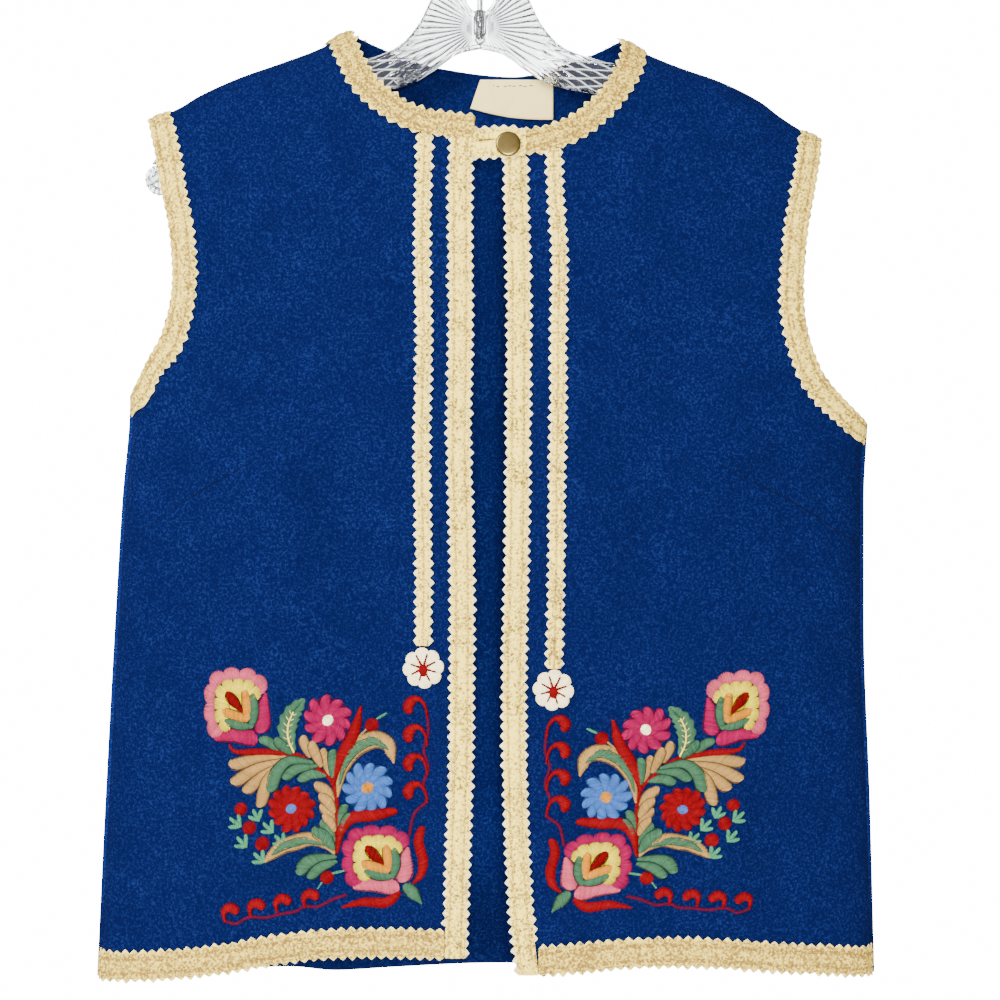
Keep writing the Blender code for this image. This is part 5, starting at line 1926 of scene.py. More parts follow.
class ThreadWork:
    """Gathers stitches and makes them one piece of thread."""

    tree: ClassVar[Optional[Tree]] = None
    sockets: ClassVar[dict[str, str]] = {}
    end_size: ClassVar[float] = 0.75         # of a strand's radius where it dives
    size_spread: ClassVar[float] = 0.06      # of radius from strand to strand

    def __init__(self, name: str, seed: int, sides: int = 5) -> None:
        """Start an empty piece of work."""
        self.name = name
        self.sides = sides
        self.rng = np.random.default_rng(seed)
        self.points: list[Array] = []
        self.colours: list[Array] = []
        self.radii: list[Array] = []

    def add(self, threads: Array, dye: Dye, radius: float, uneven: float = 0.1,
            ends: float = 0.0, shade: float = 1.0) -> None:
        """Add stitches of one dye.

        Args:
            threads: stitches by points by x, y, z.
            dye: their colour.
            radius: of the thread.
            uneven: how much the dye varies from stitch to stitch.
            ends: how much darker a stitch is painted towards its ends, as painted shade where it dives into the cloth.
            shade: how much of the dye's brightness is left.
        """
        count, steps = threads.shape[:2]
        base = np.array(linear(dye.value)[:3]) * shade
        vary = 1 + uneven * self.rng.standard_normal((count, 1))
        colour = np.clip(base * vary, 0, 1)
        self.points.append(threads)
        # painted shade towards each stitch's ends
        depth = 1 - ends * np.abs(np.linspace(-1, 1, steps)) ** 1.6
        self.colours.append(colour[:, None, :] * depth[None, :, None])
        taper = np.ones(steps)
        taper[0] = taper[-1] = self.end_size
        spread = 1 + self.size_spread * self.rng.standard_normal((count, 1))
        self.radii.append(radius * taper * spread)

    def build(self, material: Material, slot: Optional[str] = None) -> Piece:
        """Sweep the stitches into one mesh.

        Args:
            material: the thread's finish.
            slot: the record's slot it takes its finish from, if one fits.

        Returns:
            The piece, riding on the body.
        """
        if ThreadWork.tree is None:
            ThreadWork.tree, ThreadWork.sockets = ThreadTree().build()
        points, edges, start = [], [], 0
        for threads in self.points:
            count, steps = threads.shape[:2]
            points.append(threads.reshape(-1, 3))
            first = start + np.arange(count)[:, None] * steps + np.arange(steps - 1)
            edges.append(np.stack([first, first + 1], axis=-1).reshape(-1, 2))
            start += count * steps
        mesh = bpy.data.meshes.new(self.name)
        mesh.from_pydata((np.concatenate(points) * MM).tolist(),
                         np.concatenate(edges).tolist(), [])
        colours = np.concatenate([c.reshape(-1, 3) for c in self.colours])
        dyes = mesh.attributes.new("thread_colour", "FLOAT_COLOR", "POINT")
        dyes.data.foreach_set("color", np.column_stack([colours, np.ones(len(colours))]).ravel())
        mark_points(mesh, "thread_radius", np.concatenate([r.ravel() for r in self.radii]) * MM)
        piece = add_object(self.name, mesh)
        sweep = piece.modifiers.new("sweep", "NODES")
        sweep.node_group = ThreadWork.tree
        sweep[ThreadWork.sockets["Sides"]] = self.sides
        sweep[ThreadWork.sockets["Material"]] = material
        apply_modifiers(piece)
        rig.ride(piece, "root")
        if slot:
            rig.slot(piece, slot)
        LOG.info("%s: %d faces", piece.name, len(piece.data.polygons))
        return piece


class Fill(NamedTuple):
    """Satin stitch laid across a curved middle line, widths in mm at even steps."""

    dye: Dye
    middle: Sequence[Place]
    widths: Sequence[float]
    lean: float = 0.35
    layer: float = 0
    ragged: float = 0.04


class Daisy(NamedTuple):
    """A round flower of long stitches, with a knotted middle."""

    dye: Dye
    heart: Dye
    at: Place
    radius: float
    heart_radius: float
    petals: int
    turn: float
    full: float = 0.86


class Tulip(NamedTuple):
    """A big cut-open flower: scalloped rims round leaves and a drop."""

    at: Place
    half_width: float
    half_height: float
    rim: Dye
    sides: Dye


class Berry(NamedTuple):
    """A round berry."""

    at: Place
    radius: float


class Sprig(NamedTuple):
    """Three small leaves from one joint; heading is in degrees from the right."""

    at: Place
    heading: float
    size: float


# The motif's own drawing: millimetres across from its outer side, and down from its top.
STEMS = (
    Fill(Dye.RED, ((24.3, 67.5), (29.2, 71.8), (48.7, 71.8), (68.1, 73.6), (79.1, 80.3),
                   (90, 90), (93.1, 103.4), (93.1, 136.2)), (1.2, 5, 4.2, 2.6, 2.4, 2.8, 3, 2.2)),
    Fill(Dye.RED, ((90.6, 92.4), (94.9, 77.8), (103.4, 60.8), (108.5, 42.6)),
         (2.5, 6.6, 8.4, 6.6, 1.6), 0.5, 1),
    Fill(Dye.RED, ((93.7, 135), (96.1, 121.6), (103.4, 113.1), (116.8, 111.2), (131.6, 108)),
         (1.6, 5, 7.4, 8, 7, 4), 0.5, 1),
    Fill(Dye.RED, ((147.6, 118.3), (145.3, 128), (148.2, 140), (147, 149), (142, 154.6)),
         (4.4, 6.2, 6.8, 6.8, 5, 1.4), 0.4),
    Fill(Dye.RED, ((133.1, 160), (124.7, 166.9), (110.2, 166.9), (96.8, 170.3)),
         (3.4, 6.6, 7, 6, 4, 1), 0.4),
)
BROAD = (1.6, 3.8, 6.0, 7.6, 7.6)
LEAVES = (
    Fill(Dye.GREEN, ((43.8, 65), (49, 64.8), (56, 70.2)), (5.6, 6.8, 5.8, 2.0), 0.4),
    Fill(Dye.GREEN, ((53.6, 63.4), (58, 67.2), (64.6, 72.4)), (5.6, 6.6, 5.6, 2.0), 0.4, 1),
    Fill(Dye.BEIGE, ((70.8, 61.4), (73.4, 68), (76.6, 74.6)), (5.4, 6.6, 5.6, 2.6), 0.4),
    Fill(Dye.BEIGE, ((76.4, 65), (79.8, 72.6), (83.8, 80.6)), (5.4, 6.8, 5.8, 2.6), 0.4, 1),
    Fill(Dye.BEIGE, ((83.6, 69.6), (86.4, 77.6), (89.2, 86)), (5.2, 6.4, 5.6, 2.4), 0.4),
    Fill(Dye.GREEN, ((90.2, 70), (90.6, 79), (91, 88)), (5.6, 6.2, 5.4, 2.4), 0.4, 1),
    Fill(Dye.BEIGE, ((63, 74.6), (43, 76), (24.8, 81.0)), BROAD, 0.5),
    Fill(Dye.BEIGE, ((61, 76), (42, 82), (26.6, 92.4)), BROAD, 0.5, 1),
    Fill(Dye.BEIGE, ((58.6, 77), (45.4, 86.4), (34.6, 98.0)), BROAD, 0.5),
    Fill(Dye.BEIGE, ((56.6, 79), (48.8, 89.6), (44.4, 107.0)), (1.8, 4.8, 7.4, 8.0, 5.6), 0.5, 1),
    Fill(Dye.GREEN, ((78.6, 78), (63.4, 76.8), (54.8, 84.6), (51.4, 97)),
         (1.8, 4.6, 6.8, 8.2, 7.2), 0.5, 2),
    Fill(Dye.GREEN, ((81, 80), (67.8, 82), (59.6, 88.8)), (1.6, 4.4, 6.6, 6.8, 5.8), 0.5, 1),
    Fill(Dye.GREEN, ((86.6, 86), (76.4, 85.6), (69.4, 90.2)), (1.8, 5, 6.8, 6.6, 5.2), 0.5),
    Fill(Dye.BEIGE, ((79.0, 92.8), (86, 95.6), (91.6, 102.6)), (6, 7.2, 6.4, 2.4), 0.5),
    Fill(Dye.BEIGE, ((81.8, 99.6), (87.4, 102.6), (92, 110)), (6, 7, 6.4, 2.4), 0.5, 1),
    Fill(Dye.BEIGE, ((82.4, 106.2), (88, 109.8), (92.2, 117)), (5.8, 6.8, 6, 2.2), 0.5),
    Fill(Dye.BEIGE, ((84.2, 112), (89, 115.4), (92.4, 121.6)), (4.8, 6, 5.2, 2.2), 0.5, 1),
    Fill(Dye.GREEN, ((82.6, 116), (88, 121.2), (92, 128.4)), (6, 7.6, 6.6, 2.2), 0.5),
    Fill(Dye.GREEN, ((77.4, 122), (85, 125), (91.8, 133.4)), (6.4, 8.6, 7.4, 2.4), 0.5, 1),
    Fill(Dye.GREEN, ((98.6, 104.6), (96, 112), (94.4, 120)), (5, 6, 5, 1.8), 0.4),
    Fill(Dye.GREEN, ((101.6, 110.2), (97.8, 117), (95, 126)), (4.4, 5.6, 4.6, 1.6), 0.4, 1),
    Fill(Dye.BEIGE, ((93.7, 99.7), (97, 82.7), (105, 69.8), (116.8, 63.4), (126, 66.6),
                     (129.6, 77.8)), (1.4, 4.6, 7.6, 9.8, 11.4, 11, 8.4, 1), 0.6),
    Fill(Dye.GREEN, ((95, 92), (98, 81), (105.8, 69.4), (116.6, 64.2), (125.4, 68.6)),
         (0.8, 2.4, 4.2, 5.6, 5, 1), 1.4, 1, 0.3),
    Fill(Dye.BEIGE, ((46.8, 142), (57.4, 133), (65.4, 129.8), (76, 127), (86, 130.2), (92, 136)),
         (1.4, 7.4, 9.6, 10, 8.4, 5.6, 2), 0.6),
    Fill(Dye.GREEN, ((52, 137.4), (60, 131.6), (73, 128), (84, 130.4)),
         (0.8, 4.4, 5.2, 3.6, 1), 1.4, 1, 0.3),
    Fill(Dye.GREEN, ((69.4, 150.2), (75.4, 141.4), (93, 137.8)), (5.8, 8.8, 7.6, 5.4, 2), 0.5),
    Fill(Dye.GREEN, ((75.6, 152.4), (82.6, 145), (93.4, 140.6)), (5.4, 7, 5.8, 1.8), 0.5, 1),
    Fill(Dye.GREEN, ((135.3, 156.7), (141.4, 160.4), (147.2, 167.4)), (3.4, 8.6, 8.2, 4.4, 0.8),
         0.4),
)
VEINED_LEAF = ((72.3, 38), (65.4, 46.3), (62.3, 54.2), (62.3, 63.1), (65.8, 71.4))
VEINED_WIDTHS = (0.8, 6.8, 10.2, 12.0, 12.4, 10.6, 3.6)
TULIPS = (
    Tulip((29.2, 42.6), 21.6, 24.9, Dye.PINK, Dye.MAGENTA),
    Tulip((118.9, 139.2), 22.8, 21.7, Dye.MAGENTA, Dye.PINK),
)
# A tulip's fills in shares of its half sizes, across and up: its outer sides, which take
# the flower's own dye, and then what lies inside its rims.
TULIP_SIDES = (
    Fill(Dye.PINK, ((0.86, 0.34), (0.76, -0.13), (0.76, -0.68)),
         (0.08, 0.30, 0.46, 0.52, 0.46), 0.3),
    Fill(Dye.PINK, ((-0.66, -0.86), (-0.02, -0.74), (0.62, -0.84)),
         (0.10, 0.32, 0.46, 0.52, 0.42), 0.3),
)
TULIP_INSIDE = (
    Fill(Dye.YELLOW, ((0.26, 0.34), (-0.12, -0.10)), (0.3, 0.5, 0.3), 0.3),
    Fill(Dye.ORANGE, ((0.34, -0.36), (0.30, 0.05), (0.24, 0.42)),
         (0.16, 0.30, 0.26, 0.18), 0.4, 2),
    Fill(Dye.ORANGE, ((0.34, -0.34), (-0.02, -0.24), (-0.44, -0.12)),
         (0.16, 0.30, 0.28, 0.20), 0.4, 2),
    Fill(Dye.GREEN, ((0.44, -0.56), (0.52, -0.1), (0.47, 0.34)),
         (0.10, 0.26, 0.29, 0.24, 0.12), 0.4, 2),
    Fill(Dye.GREEN, ((0.44, -0.50), (0.02, -0.48), (-0.36, -0.36)),
         (0.10, 0.25, 0.28, 0.24, 0.10), 0.4, 2),
    Fill(Dye.DEEP_RED, ((-0.32, 0.34), (-0.08, 0.14), (0.18, -0.12)),
         (0.10, 0.30, 0.30, 0.18, 0.03), 0.5, 3),
)
DAISIES = (
    Daisy(Dye.MAGENTA, Dye.WHITE, (87.6, 51.1), 15.3, 3.6, 10, 0.16),
    Daisy(Dye.BLUE, Dye.ORANGE, (112.9, 93.9), 15.8, 3.8, 11, 0.2),
    Daisy(Dye.RED, Dye.PALE_BLUE, (64.1, 107.7), 14.6, 3.3, 12, 0.2, 1.0),
)
BERRIES = (Berry((115.6, 54.1), 4.5), Berry((31.6, 108.3), 4.2), Berry((37.1, 120.2), 4.4),
           Berry((45.4, 130.4), 4.6), Berry((87, 151.4), 4.4))
TWIGS = (
    Fill(Dye.MINT, ((119, 50), (124.8, 46.6)), (1.0, 1.8, 0.9)),
    Fill(Dye.BEIGE, ((104.5, 64.5), (112, 56.8)), (1.0, 1.0)),
    Fill(Dye.MINT, ((90.6, 148.8), (97.6, 147)), (1.0, 1.8, 0.9)),
    Fill(Dye.MINT, ((83.4, 155), (81, 158.6)), (1.0, 0.8)),
)
SPRIGS = (Sprig((31.6, 119.2), 146, 8.6), Sprig((43.3, 115.5), 122, 7.8),
          Sprig((52.2, 122.8), 140, 8.4), Sprig((35.3, 132.2), 138, 8.4),
          Sprig((59.5, 130.6), 140, 8.0), Sprig((46.5, 141.9), 142, 8.4))
SIDE_CURLS = (43.0, 60.9, 79.3, 97.1)
SIDE_CURL = ((10.8, 6.0), (9.6, -0.8), (5.8, -5.4), (1.2, -4.8), (-1.2, -0.8), (0.8, 3.2))
SIDE_CURL_X = 140.0
SIDE_VINE = ((150.6, 46), (151.5, 58.6), (148.7, 70), (151.5, 81), (148.4, 92.1), (150.4, 102.1),
             (142.6, 110.4), (139.6, 124.0))
LOW_CURLS = ((24.9, 174.6), (41.6, 171.6), (58.2, 168.6), (76.0, 165.4))
LOW_CURL = ((4.0, 0.6), (3.0, -2.4), (-0.6, -3.4), (-4.0, -0.4), (-3.2, 5.4))
LOW_VINE = ((21.8, 179.6), (28.8, 181.2), (36.6, 177.2), (47.8, 177.2), (56.7, 175.2),
            (66.7, 173.4), (72.3, 170.3), (81.2, 170.1), (90.2, 165.6), (99.1, 162.3))


@dataclass
class EmbroideredMotif:
    """The spray of flowers on one front, drawn by rule from its table.

    The drawing's axes are turned onto the cloth by across and down: each gives
    how far a millimetre of the drawing moves in X and in Z.
    """

    name: str
    corner: Mark
    across: tuple[float, float]
    down: tuple[float, float]
    seed: int
    thread: float = 0.42
    spacing: float = 0.79
    puff: float = 0.045
    most_puff: float = 0.55
    layer_lift: float = 0.55
    dip: float = -0.3
    round_from: float = 0.9              # half widths of ends that are rounded off
    edged_from: float = 1.5              # half widths of shapes with a dark strand round them, painted shade in the gap

    def lay(self, a: Array, d: Array, lift: Array) -> Array:
        """Put places of the drawing on the front."""
        x = self.corner.x + self.across[0] * a + self.down[0] * d
        z = self.corner.z + self.across[1] * a + self.down[1] * d
        return FORM.lay(Face.FRONT, x, z, lift)

    def stitch(self, start: Array, end: Array, dye: Dye, layer: int = 0,
               thread: Optional[float] = None, uneven: float = 0.1) -> None:
        """Lay stitches from start to end, each rising over its middle.

        Args:
            start: one row of across and down for each stitch.
            end: the same for the other ends.
            dye: the thread's colour.
            layer: how many layers of thread lie beneath.
            thread: the thread's radius, if not the motif's own.
            uneven: how much the colour varies.
        """
        radius = thread or self.thread
        length = np.linalg.norm(end - start, axis=-1)
        share = np.array([0.0, 0.12, 0.5, 0.88, 1.0])
        spots = start[:, None] + (end - start)[:, None] * share[None, :, None]
        rise = np.minimum(0.16 + self.puff * length, self.most_puff)[:, None]
        shape = np.array([self.dip, 0.35, 1.0, 0.35, self.dip])
        base = radius * 0.55 + layer * self.layer_lift
        lift = np.where(shape < 0, shape + layer * self.layer_lift, base + rise * np.abs(shape))
        # 0.55: the stitch's ends get painted shade where it dives into the cloth
        self.work.add(self.lay(spots[..., 0], spots[..., 1], lift), dye, radius, uneven, 0.55)

    def fill(self, row: Fill) -> None:
        """Fill a shape with satin stitch across its middle line, with round ends."""
        line = smooth_line(row.middle, 0.3, 6)
        lengths = run_lengths(line)
        half = np.interp(lengths, np.linspace(0, lengths[-1], len(row.widths)), row.widths) / 2
        half = np.convolve(np.pad(half, 4, mode="edge"), np.ones(9) / 9, mode="valid")
        for gap, end in ((lengths, half[0]), (lengths[-1] - lengths, half[-1])):
            if end > self.round_from:
                half = half * np.sqrt(1 - (1 - np.minimum(gap / end, 1.0)) ** 2)
        tangent = unit(np.gradient(line, axis=0))
        normal = square_to(tangent)
        sides = [line + normal * half[:, None] * sign for sign in (-1, 0, 1)]
        steps = np.linalg.norm(np.diff(sides, axis=1), axis=-1)
        travel = np.cumsum(np.minimum(steps.max(axis=0), 2.5 * steps[1]))
        travel = np.concatenate([[0.0], travel])
        count = max(int(travel[-1] / self.spacing), 3)
        index = np.arange(len(line))
        at = np.interp(np.linspace(0, travel[-1], count), travel, index)
        if half.max() > self.edged_from and row.dye is not Dye.RED:
            self.edge(sides[::2], row)
        centre, tangent, normal = (read_rows(at, index, v) for v in (line, tangent, normal))
        half = np.interp(at, index, half) * (1 + row.ragged * self.work.rng.standard_normal(count))
        slant = tangent * (row.lean * half)[:, None]
        side = normal * half[:, None]
        self.stitch(centre - side - slant, centre + side + slant, row.dye, row.layer)

    def edge(self, sides: Sequence[Array], row: Fill) -> None:
        """Draw a low dark strand on each side of a filled shape: painted shade in the gap round it, and partly a
        darker outline.
        """
        for side in sides:
            spots = side[::5]
            lift = np.full(len(spots), row.layer * self.layer_lift + 0.3)
            lift[0] = lift[-1] = row.layer * self.layer_lift - 0.2
            # painted shade: the dye darkened to 0.22 of its brightness
            self.work.add(self.lay(spots[:, 0], spots[:, 1], lift)[None], row.dye, 0.3, 0.0,
                          shade=0.22)

    def daisy(self, row: Daisy) -> None:
        """Work a daisy: petals all round, and a raised heart."""
        at = np.array(row.at)
        start = row.heart_radius * 0.8
        width = 2 * math.pi * row.radius * row.full / row.petals
        widths = tuple(width * share for share in (0.94, 1, 0.88, 0.64, 0.44))
        for i in range(row.petals):
            along = ray(row.turn + 2 * math.pi * i / row.petals)
            tip = row.radius * float(1 + 0.03 * self.work.rng.standard_normal())
            spots = tuple(tuple(at + along * reach) for reach in (tip, (tip + start) / 2, start))
            self.fill(Fill(row.dye, spots, widths, 0.5, i % 2 * 0.25, 0.03))
        self.berry(Berry(row.at, row.heart_radius), row.heart, 1)

    def berry(self, row: Berry, dye: Dye = Dye.RED, layer: int = 0) -> None:
        """Work a round spot of satin stitch."""
        count = max(int(2 * row.radius / self.spacing), 4)
        offset = np.linspace(-0.92, 0.92, count)
        reach = row.radius * np.sqrt(1 - offset ** 2)
        along = ray(float(self.work.rng.uniform(0.3, 1.2)))
        centre = np.array(row.at) + np.outer(offset * row.radius, square_to(along))
        self.stitch(centre - np.outer(reach, along), centre + np.outer(reach, along), dye, layer)

    def sprig(self, row: Sprig) -> None:
        """Work three small leaves from a joint."""
        for turn, size in ((-42, 0.9), (0, 1.0), (42, 0.9)):
            tip = np.array(row.at) + ray(math.radians(-(row.heading + turn))) * row.size * size
            self.fill(Fill(Dye.MINT, (tuple(tip), row.at), (1.8, 3.0, 2.6, 0.8), 0.7))

    def ring(self, at: Place, size: Place, radii: tuple[float, float], turns: Place,
             scallops: int, dye: Dye, layer: int) -> None:
        """Fill a scalloped rim with stitches that point at its middle.

        Args:
            at: the middle, across and down.
            size: half its width and half its height.
            radii: inner and outer reach, as shares of the size.
            turns: degrees from the right, anticlockwise, where it starts and ends.
            scallops: how many round lobes its outer edge has.
            dye: the thread's colour.
            layer: how many layers of thread lie beneath.
        """
        low, high = (math.radians(t) for t in turns)
        mean = radii[1] * (size[0] + size[1]) / 2
        count = int((high - low) * mean / (self.spacing * 1.05))
        turn = np.linspace(low, high, count)
        square = 1 / (np.abs(np.cos(turn)) ** 3 + np.abs(np.sin(turn)) ** 3) ** (1 / 3)
        phase = (turn - low) / (high - low) * scallops
        lobe = np.sqrt(np.abs(np.sin(math.pi * phase)))
        outer = radii[1] * square * (0.87 + 0.13 * lobe)
        inner = radii[0] * square * (0.95 + 0.05 * lobe)
        ray = np.stack([np.cos(turn) * size[0], -np.sin(turn) * size[1]], axis=-1)
        middle = np.array(at)
        self.stitch(middle + ray * inner[:, None], middle + ray * outer[:, None], dye, layer)

    def tulip(self, row: Tulip) -> None:
        """Work a big open flower from its rim inwards."""
        size = row.half_width, row.half_height

        def work_parts(parts: Sequence[Fill], dye: Optional[Dye] = None) -> None:
            """Fill parts that are drawn in shares of the flower's half sizes."""
            for part in parts:
                spots = tuple((row.at[0] + u * size[0], row.at[1] - v * size[1])
                              for u, v in part.middle)
                self.fill(part._replace(dye=dye or part.dye, middle=spots,
                                        widths=tuple(w * size[0] for w in part.widths)))

        work_parts(TULIP_SIDES, row.sides)
        self.ring(row.at, size, (0.66, 1.0), (24, 236), 7, row.rim, 0)
        inner = row.at[0] + 0.04 * size[0], row.at[1]
        self.ring(inner, size, (0.26, 0.73), (18, 246), 8, Dye.YELLOW, 1)
        work_parts(TULIP_INSIDE)

    def veined_leaf(self) -> None:
        """Work the long leaf: two fishbone halves, then its pale vein."""
        line = smooth_line(VEINED_LEAF, 0.4, 6)
        count = int(len(line) * 0.4 / self.spacing * 1.2)
        at = np.linspace(0, len(line) - 1, count)
        centre = read_rows(at, np.arange(len(line)), line)
        tangent = unit(np.gradient(centre, axis=0))
        normal = square_to(tangent)
        half = 0.5 * np.interp(at, np.linspace(0, len(line) - 1, len(VEINED_WIDTHS)), VEINED_WIDTHS)
        notch = 1 + 0.10 * np.sin(at / len(line) * 40)
        for side in (-1, 1):
            tip = centre + (normal * side - tangent * 0.7) * (half * notch)[:, None]
            self.stitch(centre, tip, Dye.GREEN)
        self.fill(Fill(Dye.CREAM, VEINED_LEAF[1:], (0.5, 0.7, 0.9), 0.8, 1))
        for i in range(count // 3, count - 3, 6):
            for side in (-1, 1):
                tip = centre[i] + (normal[i] * side - tangent[i] * 0.8) * half[i] * 0.55
                self.stitch(centre[i][None], tip[None], Dye.CREAM, 1, 0.2)

    def curls(self) -> None:
        """Work the two scrolls: thin vines with thick red curls on them."""
        self.fill(Fill(Dye.VINE, SIDE_VINE, (1.8, 1.8), 0.9))
        self.fill(Fill(Dye.VINE, LOW_VINE, (1.8, 1.8), 0.9))
        for d in SIDE_CURLS:
            spots = tuple((SIDE_CURL_X + a, d + b) for a, b in SIDE_CURL)
            self.fill(Fill(Dye.RED, spots, (1.2, 1.4, 1.8, 3.0, 5.6, 7.2, 5.6), 0.2, 1))
        for a, d in LOW_CURLS:
            spots = tuple((a + x, d + y) for x, y in LOW_CURL)
            self.fill(Fill(Dye.RED, spots, (4.2, 6.2, 6.4, 5.6, 3.6, 2.0, 1.4), 0.2, 1))

    def build(self, thread: Material) -> Piece:
        """Work the whole spray as one piece of thread."""
        self.work = ThreadWork(self.name, self.seed)
        self.curls()
        for row in LEAVES + TWIGS:
            self.fill(row)
        self.veined_leaf()
        for work, rows in ((self.fill, STEMS), (self.tulip, TULIPS), (self.daisy, DAISIES),
                           (self.berry, BERRIES), (self.sprig, SPRIGS)):
            for row in rows:
                work(row)
        return self.work.build(thread)


@dataclass
class SewingStitches:
    """The machine stitches that hold the felt down, sunk in its channels."""

    name: str
    thread: float = 0.33
    pitch: float = 2.1
    length: float = 1.25

    def along_bands(self, bands: Sequence[FeltBand], material: Material) -> Piece:
        """Sew along every channel of some strips."""
        work = ThreadWork(self.name, 5, 3)
        for band in bands:
            span = band.lengths[-1] - band.lengths[0]
            count = max(int(span / self.pitch), 2)
            middle = np.linspace(band.lengths[0] + 2, band.lengths[-1] - 2, count)
            at = middle[:, None] + self.length * np.array([-0.5, 0.0, 0.5])
            base, across = (read_rows(at, band.lengths, v) for v in (band.base, band.across))
            for channel in band.channels:
                points = base + across * (band.inset + channel * band.squeeze(at)[..., None])
                crown = band.crown * math.sin(math.pi * channel / band.width) ** 0.6
                deep = band.under + band.thickness + crown - band.sink
                lift = deep + np.array([-0.3, 0.3, -0.3])
                laid = FORM.raised(band.face, *FORM.locate(band.face, points), lift)
                work.add(laid, Dye.SEWING, self.thread, 0.1)
        return work.build(material, "cream_felt")


@dataclass
class DartShadowLine:
    """The shade along a stitched dart's folded edge, painted as a fine dark strand."""

    name: str
    marks: Sequence[Mark]
    thread: float = 0.8
    lift: float = -0.42

    def build(self, material: Material) -> Piece:
        """Draw the painted shadow as one long strand that fades into the cloth at its tip."""
        work = ThreadWork(self.name, 3, 6)
        line = smooth_line(self.marks, 1.5)
        share = np.linspace(0, 1, len(line))
        lift = self.lift - 0.5 * ease((share - 0.75) / 0.25) - 0.4 * ease((0.08 - share) / 0.08)
        work.add(FORM.lay(Face.FRONT, line[:, 0], line[:, 1], lift)[None], Dye.SHADOW_BLUE,
                 self.thread, 0.0)
        return work.build(material, "blue_wool")


@dataclass
class FlowerRays:
    """The red star stitched through a felt flower."""

    name: str
    flower: FeltFlower
    rays: int = 8
    reach: float = 8.6
    heart: float = 2.3
    heart_tall: float = 3.7
    drop: float = 1.5
    heart_stitches: int = 9

    def build(self, material: Material) -> Piece:
        """Work the rays and the heart as one piece of thread."""
        work = ThreadWork(self.name, 11)
        at = np.array([self.flower.at.x, self.flower.at.z])
        turn = (self.flower.turn + math.pi / self.rays
                + 2 * math.pi * np.arange(self.rays) / self.rays)
        share = np.array([0.12, 0.3, 0.6, 0.9, 1.0])
        rays = np.stack([np.cos(turn), np.sin(turn)], axis=-1)
        length = self.reach * (1 + 0.07 * work.rng.standard_normal(self.rays))
        base = self.flower.under + self.flower.thickness
        lift = np.tile(base + np.array([0.4, 0.55, 0.6, 0.45, 0.1]), (self.rays, 1))
        for reach, dye, thread in ((1.0, Dye.MAROON, 0.55), (0.55, Dye.DEEP_RED, 0.75)):
            spots = at + rays[:, None] * (reach * length[:, None] * share)[..., None]
            work.add(FORM.lay(Face.FRONT, spots[..., 0], spots[..., 1], lift), dye, thread)
        offset = np.linspace(-0.95, 0.95, self.heart_stitches) * self.heart
        half = np.sqrt(self.heart ** 2 - offset ** 2) * self.heart_tall / self.heart
        step = np.array([-1.0, -0.7, 0.0, 0.7, 1.0])
        for over in (0.0, 0.6):
            along = ray(math.pi / 2 + 0.3 * over)
            spots = (at - np.array([0.0, self.drop])
                     + np.outer(offset, square_to(along))[:, None]
                     + along * (half[:, None] * step)[..., None])
            lift = base + 0.3 + over * 0.5 + np.array([-0.2, 0.35, 0.65, 0.35, -0.2])
            work.add(FORM.lay(Face.FRONT, spots[..., 0], spots[..., 1],
                              np.tile(lift, (self.heart_stitches, 1))), Dye.DEEP_RED, 0.42)
        return work.build(material)


# ------------------------------------------------------------------- the whole vest
UP, DOWN = (0.0, 0.0, 1.0), (0.0, 0.0, -1.0)


@dataclass
class VestPart:
    """A part of the vest, with its felt strips' widths."""

    armhole_width: ClassVar[float] = 14.0
    neck_width: ClassVar[float] = 14.0
    hem_width: ClassVar[float] = 16.0
    tooth: ClassVar[float] = 2.0

    def bands(self) -> list[FeltBand]:
        """List the felt strips, each on its own edge."""
        raise NotImplementedError

    def sew_bands(self, name: str, seed: int, finishes: dict[str, Material]) -> list[Piece]:
        """Make the strips and the stitches that hold them.

        Args:
            name: of the piece of stitches.
            seed: of the first strip's teeth.
            finishes: the materials by name.

        Returns:
            The strips, then their stitches.
        """
        bands = self.bands()
        pieces = [band.build(finishes["cream"], seed + number * 10)
                  for number, band in enumerate(bands)]
        return [*pieces, SewingStitches(name).along_bands(bands, finishes["thread"])]


